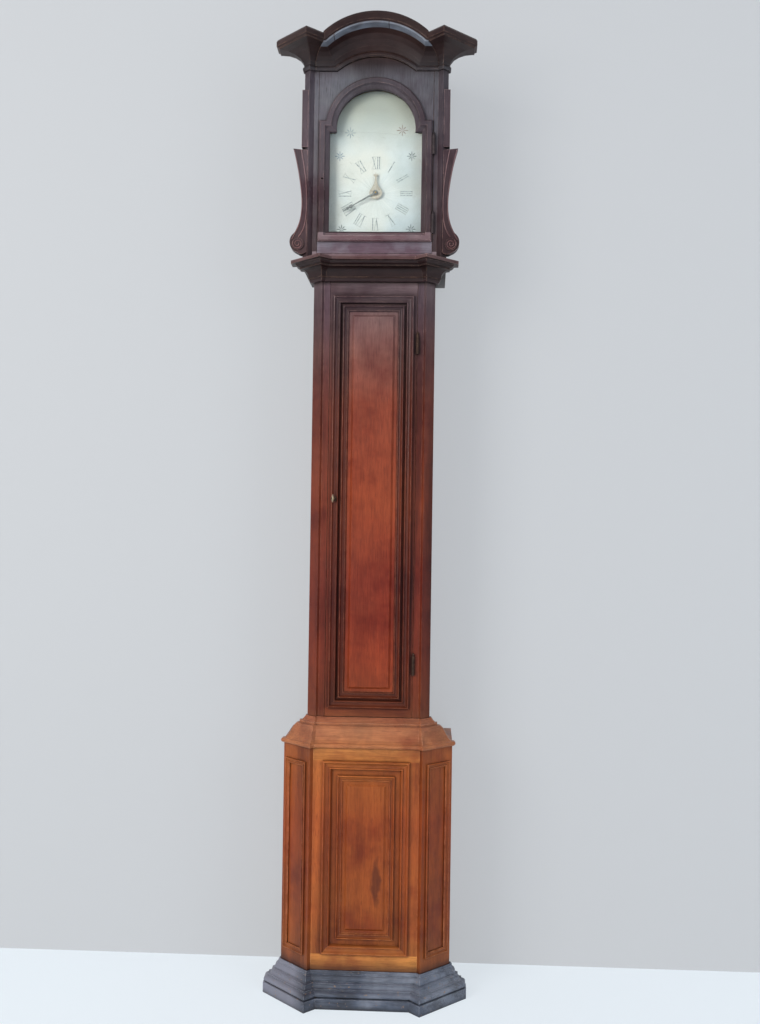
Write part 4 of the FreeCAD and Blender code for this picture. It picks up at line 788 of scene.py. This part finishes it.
beads = []
for side, word in ((-1, "left"), (1, "right")):
    for edge_name, points in EDGES.items():
        line = [(x * MM, z * MM) for x, z in points]
        beads.append(bead(f"console_{edge_name}_bead_{word}", line, console_face, side))
    beads.append(bead("console_spiral_" + word, scroll(), volute_face, side))
print("console beads:", len(beads))

# %% [markdown]
# ## The black plinth
#
# The plinth was stained black and waxed. Feet, mops and brushes have rubbed it to a bluish
# grey, and they have knocked flakes out of it down to the wood. The bluish grey is dust in old wax
# together with a painted reflection of the sky, so it is laid on where the blotches are, and the
# flakes come from a second, sharper noise. The left corner, which faced the window, is made paler
# as painted light. The pale edges are wear and a painted highlight, and the dark hollows are grime
# and painted shade.

# %% Ebonised plinth
EBONY_BLOTCHES = [(0.1, paint(46, 48, 56)), (0.5, paint(82, 90, 106)), (0.9, paint(124, 130, 142))]
EBONY_BLACK, EBONY_GRIME_AND_SHADE = paint(34, 34, 40), paint(22, 20, 22)
EBONY_LIT_SIDE, EBONY_RUBBED_AND_LIT = paint(158, 158, 172), paint(160, 162, 172)
FLAKED_WOOD = paint(146, 120, 100)
LIT_SIDE_START, LIT_SIDE_FULL, LIT_SIDE_SHARE = -140.0 * MM, -175.0 * MM, 0.55


def ebonised(name):
    """Black stained wood, rubbed grey, with flakes down to the bare wood, and with painted light and
    shade.
    """
    material, tree, shader = new_material(name)
    point = object_point(tree)
    wear = place_group(tree, wear_group, {"Point": point, "Edge": 2.5 * MM, "Reach": 20.0 * MM})
    tone, _, height = lay_grain(tree, point, "level", figure=0.8)
    black = remap(tree, tone, 0.35, 0.65, to_low=0.6, to_high=0.0)
    colour = blend_colours(tree, black, ramp(tree, wear["Blotch"], EBONY_BLOTCHES), EBONY_BLACK)
    # The left side is paled as painted light from the window.
    aside = add_node(tree, "SeparateXYZ", {0: point}).outputs["X"]
    lit_side = remap(tree, aside, LIT_SIDE_START, LIT_SIDE_FULL, to_high=LIT_SIDE_SHARE)
    colour = blend_colours(tree, lit_side, colour, EBONY_LIT_SIDE)
    flakes = noise(tree, point, scale=95.0, detail=3.0, roughness=0.6)
    flakes = remap(tree, flakes, 0.66, 0.71)
    colour = blend_colours(tree, flakes, colour, FLAKED_WOOD)
    # Pale edges are wear and painted highlight. Dark hollows are grime and painted shade.
    colour = blend_colours(tree, wear["Edges"], colour, EBONY_RUBBED_AND_LIT)
    colour = blend_colours(tree, wear["Grime_and_shade"], colour, EBONY_GRIME_AND_SHADE)
    rough = remap(tree, wear["Patch"], 0, 1, to_low=0.40, to_high=0.62)
    set_inputs(tree, shader, {"Base Color": colour, "Roughness": rough})
    height = work_out(tree, "SUBTRACT", height, flakes)
    emboss(tree, shader, height, strength=0.4, depth=0.4 * MM)
    return material


dress(ebonised("plinth_black"), "plinth")

# %% [markdown]
# ## Bare wood inside
#
# The boards that nobody sees were never stained. They are sawn pine gone brown, with dust lying
# on them and painted shade in their corners. The same grain group serves, with softer figure and no wax.

# %% Pine boards
PINE_TONES = [(0.2, paint(112, 76, 44)), (0.5, paint(150, 110, 68)), (0.8, paint(172, 134, 88))]
PINE_DIRT_AND_SHADE, PINE_DIRT_AND_SHADE_STRENGTH = paint(60, 46, 34), 0.7


def bare_pine(name, lay):
    """Unfinished pine, brown with age."""
    material, tree, shader = new_material(name)
    point = object_point(tree)
    tone, _, height = lay_grain(tree, point, lay, figure=1.2)
    wear = place_group(tree, wear_group, {"Point": point, "Reach": 50.0 * MM})
    # Corners are darkened for dust and as painted shade.
    colour = lay_over(tree, wear["Grime_and_shade"], PINE_DIRT_AND_SHADE_STRENGTH, ramp(tree, tone, PINE_TONES), PINE_DIRT_AND_SHADE)
    rough = remap(tree, wear["Blotch"], 0, 1, to_low=0.62, to_high=0.85)
    set_inputs(tree, shader, {"Base Color": colour, "Roughness": rough})
    emboss(tree, shader, height, strength=0.5, depth=0.4 * MM)
    return material


dress(bare_pine("pine_up", "up"), "backboard")
dress(bare_pine("pine_level", "level"), "seat_board", "base_floor")

# %% [markdown]
# ## Metals of the movement and the doors
#
# Old brass is never one colour: it is bright where cloth reaches, and brown in the corners.
# Filed steel shows fine lines, and a cast weight is black and dull. One function makes them all
# from a bright colour, a dark colour and a roughness.

# %% Worked metal


def worked_metal(name, bright, dark, metallic=1.0, rough=0.3, scale=60.0, worn=0.5):
    """Metal with a patina that collects in hollows and rubs bright on edges."""
    material, tree, shader = new_material(name)
    point = object_point(tree)
    wear = place_group(tree, wear_group, {"Point": point, "Edge": 0.8 * MM, "Reach": 4.0 * MM})
    patina = noise(tree, point, scale=scale, detail=6.0, roughness=0.65)
    darkened = remap(tree, patina, 0.35, 0.65, to_high=0.75)
    colour = blend_colours(tree, darkened, bright, dark)
    colour = blend_colours(tree, wear["Grime_and_shade"], colour, dark)
    colour = lay_over(tree, wear["Edges"], worn, colour, bright)
    dullness = remap(tree, patina, 0.3, 0.7, to_low=rough - 0.08, to_high=rough + 0.15)
    set_inputs(tree, shader, {"Base Color": colour, "Metallic": metallic, "Roughness": dullness})
    emboss(tree, shader, patina, strength=0.15, depth=0.2 * MM)
    return material


def metal(name, *nodes, **look):
    """Make a metal and dress nodes in it."""
    dress(worked_metal(name, **look), *nodes)


print("made: worked_metal, metal")

# %% Metals
metal("aged_brass", "front_plate", "back_plate", "great_wheel", "rope_sheave", "centre_wheel",
      "third_wheel", "escape_wheel", "cannon_pinion", "minute_wheel", "hour_wheel", "pendulum_bob",
      bright=paint(206, 170, 104), dark=paint(120, 88, 48))
metal("hour_metal", "hour_hand", bright=paint(190, 183, 170), dark=paint(150, 141, 128),
      metallic=0.25, rough=0.5, scale=200.0)
metal("minute_metal", "minute_hand", bright=paint(132, 136, 136), dark=paint(96, 98, 98),
      metallic=0.4, rough=0.5)
metal("dull_brass", "trunk_hinge_pins", "trunk_door_fittings", bright=paint(84, 62, 50),
      dark=paint(38, 28, 26), metallic=0.8, rough=0.5)
metal("dark_brass", "hood_hinge_pins", "hood_door_fittings", bright=paint(66, 55, 56),
      dark=paint(36, 29, 31), metallic=0.4, rough=0.6)
metal("key_brass", "trunk_key", bright=paint(214, 196, 164), dark=paint(120, 98, 70),
      metallic=0.8, rough=0.35)
metal("filed_steel", "anchor_crutch", "pendulum_rod", "bell_stand", "hammer", "trunk_lock_bolt",
      "hood_lock_bolt", bright=paint(168, 168, 170), dark=paint(96, 92, 90), rough=0.28, scale=120.0)
metal("cast_iron", "weight", bright=paint(70, 68, 68), dark=paint(38, 34, 32),
      metallic=0.6, rough=0.6, scale=150.0)
metal("bell_metal", "bell", bright=paint(196, 172, 120), dark=paint(116, 96, 62), rough=0.24)

# %% [markdown]
# ## The painted dial
#
# The dial is a sheet of iron under white paint that has yellowed a little and crazed. Its arch
# is in the hood's shadow and looks greyer. The crazing is drawn with a Voronoi pattern, whose
# cell borders are thin lines. Paler rays run out from the middle, where the hands were wiped
# round.

# %% Dial centre and rays
pinion_low, pinion_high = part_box("cannon_pinion")
CENTRE_X, CENTRE_Z = (pinion_low[0] + pinion_high[0]) / 2, (pinion_low[2] + pinion_high[2]) / 2
RAYS_FULL, RAYS_END = 30.0 * MM, 78.0 * MM


def wiped_rays(tree, aside, above):
    """How strongly the pale rays show, from how far a point lies beside and above the centre."""
    arm = add_node(tree, "CombineXYZ", {0: aside, 2: above}).outputs[0]
    radius = add_node(tree, "VectorMath", {0: arm}, operation="LENGTH").outputs["Value"]
    heading = add_node(tree, "VectorMath", {0: arm}, operation="NORMALIZE").outputs[0]
    rays = noise(tree, heading, scale=14.0, detail=4.0, roughness=0.7)
    rays = remap(tree, rays, 0.40, 0.62, to_high=0.8)
    return work_out(tree, "MULTIPLY", rays, remap(tree, radius, RAYS_END, RAYS_FULL))


print("dial centre", round(CENTRE_X, 4), round(CENTRE_Z, 4))

# %% Dial paint
DIAL_BLOTCHES = [(0.1, paint(204, 213, 214)), (0.5, paint(220, 228, 229)), (0.9, paint(230, 235, 234))]
DIAL_CLOUDS = [(0.35, (0.93, 0.98, 1.04, 1)), (0.5, (1.0, 1.0, 1.0, 1)), (0.65, (1.04, 0.98, 0.93, 1))]
CRAZING_GREY, DIAL_GRIME_AND_SHADE = paint(150, 150, 142), paint(120, 112, 100)
WIPED_WHITE, ARCH_GREY = paint(240, 243, 240), paint(158, 163, 152)
ARCH_SHADE_FROM, ARCH_SHADE_FULL, ARCH_SHADE = 105.0 * MM, 215.0 * MM, 0.85
PAINT_SHEEN, DIAL_GRIME_AND_SHADE_STRENGTH = 0.2, 0.4


def dial_paint(name):
    """Old white paint on iron, with faint crazing and stains, and painted shade near what stands in front
    of it.
    """
    material, tree, shader = new_material(name)
    point = object_point(tree)
    wear = place_group(tree, wear_group, {"Point": point, "Edge": 0.6 * MM, "Reach": 30.0 * MM})
    clouds = ramp(tree, noise(tree, point, scale=7.5, detail=2.0), DIAL_CLOUDS)
    colour = tinted(tree, ramp(tree, wear["Blotch"], DIAL_BLOTCHES), clouds)
    crazing = add_node(tree, "TexVoronoi", {"Vector": point, "Scale": 130.0}, feature="DISTANCE_TO_EDGE")
    lines = remap(tree, crazing.outputs["Distance"], 0.02, 0.0, to_high=0.3)
    colour = blend_colours(tree, lines, colour, CRAZING_GREY)
    parts = add_node(tree, "SeparateXYZ", {0: point}).outputs
    aside = work_out(tree, "SUBTRACT", parts["X"], CENTRE_X)
    above = work_out(tree, "SUBTRACT", parts["Z"], CENTRE_Z)
    colour = blend_colours(tree, wiped_rays(tree, aside, above), colour, WIPED_WHITE)
    arch = remap(tree, above, ARCH_SHADE_FROM, ARCH_SHADE_FULL, to_high=ARCH_SHADE)
    colour = blend_colours(tree, arch, colour, ARCH_GREY)
    # Dirt and painted shade darken the dial where things stand close in front of it.
    colour = lay_over(tree, wear["Grime_and_shade"], DIAL_GRIME_AND_SHADE_STRENGTH, colour, DIAL_GRIME_AND_SHADE)
    rough = remap(tree, wear["Blotch"], 0, 1, to_low=0.38, to_high=0.52)
    set_inputs(tree, shader, {"Base Color": colour, "Roughness": rough})
    shader.inputs["Specular IOR Level"].default_value = PAINT_SHEEN
    emboss(tree, shader, work_out(tree, "SUBTRACT", 1, lines), strength=0.2, depth=0.1 * MM)
    return material


dress(dial_paint("dial_white"), "dial_plate")

# %% [markdown]
# ## Marks on the dial
#
# The figures and flowers are paint, a tenth of a millimetre thick. They are modelled as thin
# raised shapes, because a painted stroke has a sharp edge that a texture can't give without an
# image. Each shape is made once, flat, with its foot on the dial's centre line, and then turned
# to its place like a clockmaker's compass would.

# %% Strokes and spots of paint
PAINT_THICK = 0.12 * MM
DIAL_FACE_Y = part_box("dial_plate")[0][1]
to_dial = Matrix.Translation((CENTRE_X, DIAL_FACE_Y - PAINT_THICK / 2, CENTRE_Z))


def thin_stroke(mesh, x0, z0, x1, z1, wide):
    """A straight stroke of paint from one point to another, in the dial's plane."""
    length = math.hypot(x1 - x0, z1 - z0)
    lean = math.atan2(z1 - z0, x1 - x0)
    place = (Matrix.Translation(((x0 + x1) / 2, 0, (z0 + z1) / 2)) @ Matrix.Rotation(-lean, 4, "Y")
             @ Matrix.Diagonal((length, PAINT_THICK, wide, 1)))
    bmesh.ops.create_cube(mesh, size=1.0, matrix=place)


def thin_disc(mesh, x, z, radius, segments=32, squeeze=(1, 1), turn=0.0):
    """A round or oval spot of paint."""
    place = (Matrix.Translation((x, 0, z)) @ Matrix.Rotation(turn, 4, "Y")
             @ Matrix.Diagonal((squeeze[0], 1, squeeze[1], 1)) @ Matrix.Rotation(math.radians(90), 4, "X"))
    bmesh.ops.create_cone(mesh, cap_ends=True, segments=segments, radius1=radius, radius2=radius,
                          depth=PAINT_THICK, matrix=place)


print("paint lies at depth", round(DIAL_FACE_Y, 4))

# %% Worn paint, and marks that ride
WORN_TO = paint(206, 212, 208)


def painted_mark(name, colour, low=0.35, high=0.6):
    """Thin paint, worn through in places."""
    material, tree, shader = new_material(name)
    worn = noise(tree, object_point(tree), scale=260.0, detail=4.0, roughness=0.7)
    worn = remap(tree, worn, low, high, to_high=0.6)
    thin = blend_colours(tree, worn, colour, WORN_TO)
    set_inputs(tree, shader, {"Base Color": thin, "Roughness": 0.5})
    return material


def settle(mesh, name, body, material, *moves):
    """Turn a bmesh into a piece that rides on a body."""
    for move in moves:
        bmesh.ops.transform(mesh, matrix=move, verts=mesh.verts)
    bmesh.ops.recalc_face_normals(mesh, faces=mesh.faces)
    data = bpy.data.meshes.new(name)
    mesh.to_mesh(data)
    mesh.free()
    piece = new_piece(data, material)
    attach(piece, body)
    return piece


print("made: painted_mark, settle")

# %% [markdown]
# ## Figures of the hours
#
# The hours are Roman figures that stand with their feet towards the centre. An I is one thick
# stroke, a V has a thick and a thin one, and an X crosses them. Short thin lines close the top
# and foot of each figure.

# %% Figure helper
FOOT_RADIUS, TOP_RADIUS = 63.0 * MM, 94.0 * MM
THICK, THIN, SERIF = 2.4 * MM, 0.8 * MM, 0.7 * MM
STEP = {"I": 5.0 * MM, "V": 13.0 * MM, "X": 13.0 * MM}
LETTER_MARGIN_SHARE = 0.18


def hour_figure(mesh, word, turn):
    """One Roman figure, turned to its hour."""
    fresh = bmesh.new()
    width = sum(STEP[letter] for letter in word)
    x = -width / 2
    for letter in word:
        margin = LETTER_MARGIN_SHARE * STEP[letter]
        left, middle, right = x + margin, x + STEP[letter] / 2, x + STEP[letter] - margin
        if letter == "I":
            thin_stroke(fresh, middle, FOOT_RADIUS, middle, TOP_RADIUS, THICK)
        elif letter == "V":
            thin_stroke(fresh, left, TOP_RADIUS, middle, FOOT_RADIUS, THICK)
            thin_stroke(fresh, right, TOP_RADIUS, middle, FOOT_RADIUS, THIN)
        else:
            thin_stroke(fresh, left, TOP_RADIUS, right, FOOT_RADIUS, THICK)
            thin_stroke(fresh, right, TOP_RADIUS, left, FOOT_RADIUS, THIN)
        x += STEP[letter]
    for radius in (FOOT_RADIUS, TOP_RADIUS):
        thin_stroke(fresh, -width / 2, radius, width / 2, radius, SERIF)
    bmesh.ops.transform(fresh, matrix=Matrix.Rotation(turn, 4, "Y"), verts=fresh.verts)
    data = bpy.data.meshes.new("figure")
    fresh.to_mesh(data)
    fresh.free()
    mesh.from_mesh(data)
    bpy.data.meshes.remove(data)


print("a figure is", round((TOP_RADIUS - FOOT_RADIUS) / MM), "mm tall")

# %% The twelve hours
HOURS = ["XII", "I", "II", "III", "IIII", "V", "VI", "VII", "VIII", "IX", "X", "XI"]
figures = bmesh.new()
for hour, word in enumerate(HOURS):
    hour_figure(figures, word, math.tau * hour / len(HOURS))
figure_grey = painted_mark("figure_grey", paint(104, 112, 116))
hour_figures = settle(figures, "hour_figures", "case", figure_grey, to_dial)
print("hour figures:", len(hour_figures.data.polygons), "faces")

# %% [markdown]
# ## The flowers in the corners
#
# Each corner of the dial has a small flower of eight petals, and the arch has two. Those in the
# corners have faded to blue and grey, and the right one in the arch is a brownish red. Every
# second petal is a little shorter.

# %% Corner flowers
CORNER_REACH, ARCH_REACH, PETAL_WIDE = 13.0 * MM, 15.0 * MM, 1.9 * MM
PETALS, SPOT_RADIUS = 8, 1.0 * MM
SHORT_PETAL_SHARE, PETAL_MIDDLE_SHARE, PETAL_HALF_SHARE, HEART_SHARE = 0.86, 0.58, 0.42, 0.45
flowers = {
    "flower_top_left": (-93.0, 96.0, CORNER_REACH, paint(84, 112, 136)),
    "flower_top_right": (91.0, 96.0, CORNER_REACH, paint(46, 56, 60)),
    "flower_low_left": (-86.0, -92.0, CORNER_REACH, paint(64, 76, 80)),
    "flower_low_right": (91.0, -91.0, CORNER_REACH, paint(46, 56, 60)),
    "flower_arch_left": (-67.0, 156.0, ARCH_REACH, paint(96, 112, 122)),
    "flower_arch_right": (66.0, 162.0, ARCH_REACH, paint(104, 62, 48)),
}
for name, (x, z, flower_reach, colour) in flowers.items():
    flower = bmesh.new()
    for petal in range(PETALS):
        turn = math.tau * petal / PETALS
        reach = flower_reach if petal % 2 == 0 else flower_reach * SHORT_PETAL_SHARE
        middle = reach * PETAL_MIDDLE_SHARE
        squeeze = (PETAL_WIDE / 2 / SPOT_RADIUS, reach * PETAL_HALF_SHARE / SPOT_RADIUS)
        place = (math.sin(turn) * middle, math.cos(turn) * middle)
        thin_disc(flower, *place, SPOT_RADIUS, segments=16, squeeze=squeeze, turn=turn)
    thin_disc(flower, 0, 0, PETAL_WIDE * HEART_SHARE)
    flower_paint = painted_mark(name + "_paint", colour, low=0.45, high=0.75)
    settle(flower, name, "case", flower_paint, Matrix.Translation((x * MM, 0, z * MM)), to_dial)
print("flowers:", len(flowers))

# %% [markdown]
# ## Old glass
#
# The pane in the hood door is hand-blown: nearly clear, a little green, and slightly wavy. Its
# index of refraction is set lower than real glass has, because a window's full reflection would
# hide the dial from one side. Light must reach the dial through the pane, and a renderer would
# stop a lamp's shadow ray at solid glass, so for shadow rays alone the pane is let through.

# %% Glass
GLASS_TINT, SHADOW_TINT = (0.93, 0.96, 0.95, 1), (0.94, 0.96, 0.95, 1)
GLASS_IOR, GLASS_ROUGH = 1.18, 0.02


def old_glass(name):
    """Clear, faintly wavy glass that lets the lamps through."""
    material, tree, shader = new_material(name)
    set_inputs(tree, shader, {"Base Color": GLASS_TINT, "Roughness": GLASS_ROUGH, "IOR": GLASS_IOR,
                              "Transmission Weight": 1.0})
    waves = noise(tree, object_point(tree), scale=9.0, detail=1.0)
    emboss(tree, shader, waves, strength=0.1, depth=1.0 * MM)
    clear = add_node(tree, "BsdfTransparent", {"Color": SHADOW_TINT})
    shadow = add_node(tree, "LightPath").outputs["Is Shadow Ray"]
    mixed = add_node(tree, "MixShader", {0: shadow, 1: shader.outputs[0], 2: clear.outputs[0]})
    tree.links.new(mixed.outputs[0], tree.nodes["Material Output"].inputs["Surface"])
    return material


dress(old_glass("pane_glass"), "hood_glass")

# %% [markdown]
# ## The crack in the pane
#
# An old crack crosses the pane just above the dial's square part. It is a hair-thin dark line
# on the front of the glass, slightly bent. Its points are millimetres from the dial's centre.

# %% Crack
HAIR = 0.25 * MM
CRACK = [(-92.0, 153.0), (-60.0, 151.0), (-20.0, 149.5), (30.0, 146.0), (70.0, 141.5), (96.0, 138.0)]
crack_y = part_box("hood_glass")[0][1] - HAIR / 2
crack = bmesh.new()
for (x0, z0), (x1, z1) in zip(CRACK, CRACK[1:]):
    thin_stroke(crack, x0 * MM, z0 * MM, x1 * MM, z1 * MM, HAIR)
crack_grey = painted_mark("crack_grey", paint(120, 122, 116), low=0.5, high=0.7)
to_pane = Matrix.Translation((CENTRE_X, crack_y, CENTRE_Z))
pane_crack = settle(crack, "pane_crack", "hood_door", crack_grey, to_pane)
print("crack from", CRACK[0], "to", CRACK[-1])

# %% [markdown]
# ## The rope of the weight
#
# The weight hangs on a laid rope of three strands, which passes over a sheave in the movement.
# Its free end hangs down to the floor of the base. The rope is drawn as one smooth line, and three
# strands are wound round that line like a screw thread. The stretch that carries the
# weight gets shorter as the clock is wound, so it is a piece of its own.

# %% Measures of the rope
line_low, line_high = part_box("weight_line")
ROPE_RADIUS = (line_high[0] - line_low[0]) / 2
ROPE_LAY = ROPE_RADIUS * 5
LINE_LOW, LINE_TOP = line_low[2], line_high[2]
TAIL_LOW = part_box("tail_line")[0][2]
LINE_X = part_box("tail_line")[1][0] - ROPE_RADIUS
SHEAVE_Y = (line_low[1] + line_high[1]) / 2
print("rope", round(2 * ROPE_RADIUS / MM, 2), "mm thick, one turn in", round(ROPE_LAY / MM, 1), "mm")

# %% Hemp
HEMP_HAIRS = [(0.3, paint(116, 92, 64)), (0.5, paint(164, 138, 100)), (0.7, paint(190, 166, 126))]
HEMP_DIRT_AND_SHADE, HEMP_DIRT_AND_SHADE_STRENGTH = paint(70, 54, 38), 0.6


def hemp(name):
    """Brown laid cord with fine hairs along each strand, darkened between strands with dirt and painted
    shade.
    """
    material, tree, shader = new_material(name)
    point = object_point(tree)
    hairs = noise(tree, point, scale=900.0, detail=4.0, roughness=0.7)
    wear = place_group(tree, wear_group, {"Point": point, "Reach": 3.0 * MM})
    # Grooves between strands are darkened for dirt and as painted shade.
    colour = lay_over(tree, wear["Grime_and_shade"], HEMP_DIRT_AND_SHADE_STRENGTH, ramp(tree, hairs, HEMP_HAIRS), HEMP_DIRT_AND_SHADE)
    set_inputs(tree, shader, {"Base Color": colour, "Roughness": 0.85})
    emboss(tree, shader, hairs, strength=0.5, depth=0.3 * MM)
    return material


rope = hemp("hemp_rope")
print("rope material:", rope.name)

# %% One strand round a line


def smooth_line(name, route):
    """Closely spaced points on one smooth curve through a route's points."""
    bare = round_rod(name, 0, roundness=0)
    smooth_run(bare, route, resolution=48)
    data = mesh_of(bare)
    points = [vertex.co.copy() for vertex in data.vertices]
    bpy.data.meshes.remove(data)
    return points


def wind_strand(tubes, line, reach, count, start, radius):
    """Wind one strand round a line. reach is how far along the line each of its points lies."""
    across = Vector((0, 1, 0))
    spline = tubes.splines.new("POLY")
    spline.points.add(count)
    at = 0
    for step in range(count + 1):
        along = reach[-1] * step / count
        while at < len(reach) - 2 and reach[at + 1] < along:
            at += 1
        share = (along - reach[at]) / max(reach[at + 1] - reach[at], 1e-9)
        place = line[at].lerp(line[at + 1], share)
        beside = (line[at + 1] - line[at]).normalized().cross(across).normalized()
        angle = math.tau * (along / ROPE_LAY + start)
        offset = (beside * math.cos(angle) + across * math.sin(angle)) * radius
        spline.points[step].co = (*(place + offset), 1.0)


print("made: smooth_line, wind_strand")

# %% A laid rope
STRANDS, STEPS_EACH_LAY = 3, 9
STRAND_RADIUS = ROPE_RADIUS * 0.5


def laid_rope(name, body, route, material):
    """Strands wound round a smooth line, each a thin tube."""
    line = smooth_line(name + "_line", route)
    reach = [0.0]
    for first, second in zip(line, line[1:]):
        reach.append(reach[-1] + (second - first).length)
    count = int(reach[-1] / ROPE_LAY * STEPS_EACH_LAY)
    tubes = round_rod(name, STRAND_RADIUS, roundness=1)
    for strand in range(STRANDS):
        wind_strand(tubes, line, reach, count, strand / STRANDS, ROPE_RADIUS - STRAND_RADIUS)
    piece = new_piece(mesh_of(tubes), material)
    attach(piece, body)
    return piece, line, reach[-1]


print("made: laid_rope, with", STRANDS, "strands")

# %% The stretch that carries the weight
heights = [LINE_LOW, (LINE_LOW + LINE_TOP) / 2, LINE_TOP]
weight_route = [(-LINE_X, SHEAVE_Y, height) for height in heights]
weight_rope, _, weight_length = laid_rope("weight_rope", "case", weight_route, rope)
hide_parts("weight_line")
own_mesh(weight_rope)
print("carrying stretch", round(weight_length, 3), "m")

# %% [markdown]
# ## The free tail
#
# From the sheave the other end falls straight to the floor of the base and ends in a stopper
# knot, so that it can never run out through the movement. A trefoil curve makes the knot.

# %% Tail
BEND = LINE_X * math.tan(math.radians(22.5))
tail_route = [
    (-LINE_X, SHEAVE_Y, LINE_TOP),
    (-LINE_X, SHEAVE_Y, LINE_TOP + BEND),
    (-BEND, SHEAVE_Y, LINE_TOP + LINE_X),
    (BEND, SHEAVE_Y, LINE_TOP + LINE_X),
    (LINE_X, SHEAVE_Y, LINE_TOP + BEND),
    (LINE_X, SHEAVE_Y, LINE_TOP - BEND),
    (LINE_X, SHEAVE_Y, (LINE_TOP + TAIL_LOW) / 2),
    (LINE_X, SHEAVE_Y, TAIL_LOW + ROPE_RADIUS),
]
tail_rope, tail_points, tail_length = laid_rope("tail_rope", "case", tail_route, rope)
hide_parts("tail_line")
print("free tail", round(tail_length, 3), "m")

# %% Stopper knot
KNOT_SIZE, KNOT_LIFT, KNOT_POINTS = 1.5 * MM, 6.0 * MM, 36
knot_middle = TAIL_LOW + KNOT_LIFT
knot_rod = round_rod("stopper_knot", ROPE_RADIUS, roundness=2)
loop = knot_rod.splines.new("NURBS")
loop.points.add(KNOT_POINTS - 1)
for step, knot in enumerate(loop.points):
    turn = math.tau * step / KNOT_POINTS
    x, y = math.sin(turn) + 2 * math.sin(2 * turn), math.cos(turn) - 2 * math.cos(2 * turn)
    z = -math.sin(3 * turn)
    knot.co = (LINE_X + x * KNOT_SIZE, SHEAVE_Y + z * KNOT_SIZE, knot_middle + y * KNOT_SIZE, 1.0)
loop.use_cyclic_u = True
stopper_knot = new_piece(mesh_of(knot_rod), rope)
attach(stopper_knot, "case")
print("knot:", len(stopper_knot.data.polygons), "faces")

# %% [markdown]
# ## Floor and wall
#
# The clock stands on a pale floor with its back to a pale wall. Both are stage and not part of
# the clock. The eye, a reflection and a look through glass see their own colour, with only a
# little of the shading. The wall is clear from behind, so that the clock can also be looked at
# from there.

# %% Plain surface


def plain_surface(name, colour, evenness, clear_behind=False):
    """A matt surface. evenness is how far its own colour shows over its shading."""
    material, tree, shader = new_material(name)
    set_inputs(tree, shader, {"Base Color": colour, "Roughness": 0.8})
    flat = add_node(tree, "Emission", {"Color": colour, "Strength": 1.0})
    rays = add_node(tree, "LightPath").outputs
    seen = work_out(tree, "MAXIMUM", rays["Is Camera Ray"], rays["Is Glossy Ray"])
    seen = work_out(tree, "MAXIMUM", seen, rays["Is Transmission Ray"])
    share = work_out(tree, "MULTIPLY", seen, evenness)
    surface = add_node(tree, "MixShader", {0: share, 1: shader.outputs[0], 2: flat.outputs[0]})
    if clear_behind:
        clear = add_node(tree, "BsdfTransparent")
        back = add_node(tree, "NewGeometry").outputs["Backfacing"]
        surface = add_node(tree, "MixShader", {0: back, 1: surface.outputs[0], 2: clear.outputs[0]})
    tree.links.new(surface.outputs[0], tree.nodes["Material Output"].inputs["Surface"])
    return material


print("made: plain_surface")

# %% Floor and wall
ROOM, WALL_GAP = 6.0, 20.0 * MM
back_y = box_at_load[1][1] + WALL_GAP


def stage_plane(name, half, place, material):
    """A square of floor or wall."""
    mesh = bmesh.new()
    bmesh.ops.create_grid(mesh, x_segments=1, y_segments=1, size=half, matrix=place)
    data = bpy.data.meshes.new(name)
    mesh.to_mesh(data)
    mesh.free()
    plane = new_piece(data, material)
    return plane


floor_pale = plain_surface("floor_pale", paint(236, 244, 250), 0.7)
wall_pale = plain_surface("wall_pale", paint(203, 206, 209), 0.65, clear_behind=True)
upright = Matrix.Rotation(math.radians(90), 4, "X")
stage_plane("floor", ROOM, Matrix.Translation((0, back_y - ROOM, 0)), floor_pale)
stage_plane("wall", ROOM, Matrix.Translation((0, back_y, ROOM)) @ upright, wall_pale)
print("wall at depth", round(back_y, 3))

# %% [markdown]
# ## Light
#
# The photograph is lit softly from the front and the left, as by a wide window. A large lamp on
# the left makes that window, a weaker one on the right lifts the shadows, and the world fills in
# the rest.

# %% Lamps and world
SKY_COLOUR, SKY_STRENGTH = paint(232, 238, 248), 0.62
LAMPS = {  # place, aim, width, height, power in watts, colour
    "window_left": ((-2.4, -3.0, 2.4), (0, 0, 1.2), 1.8, 2.2, 95.0, paint(255, 250, 244)),
    "window_right": ((2.6, -2.6, 2.0), (0, 0, 1.0), 1.4, 2.0, 30.0, paint(244, 248, 255)),
}


def window(name, place, aim, wide, tall, power, colour):
    """A rectangular lamp that faces a point."""
    lamp = bpy.data.lights.new(name, "AREA")
    lamp.shape = "RECTANGLE"
    lamp.size, lamp.size_y, lamp.energy, lamp.color = wide, tall, power, colour[:3]
    holder = bpy.data.objects.new(name, lamp)
    bpy.context.scene.collection.objects.link(holder)
    towards = Vector(aim) - Vector(place)
    facing = towards.to_track_quat("-Z", "Y").to_matrix().to_4x4()
    holder.matrix_world = Matrix.Translation(place) @ facing
    return holder


for name, values in LAMPS.items():
    window(name, *values)
scene = bpy.context.scene
scene.world = bpy.data.worlds.new("room")
scene.world.use_nodes = True
sky = scene.world.node_tree.nodes["Background"]
set_inputs(scene.world.node_tree, sky, {"Color": SKY_COLOUR, "Strength": SKY_STRENGTH})
scene.view_settings.view_transform = "Standard"
scene.render.resolution_x, scene.render.resolution_y = PHOTO_WIDTH, PHOTO_HEIGHT
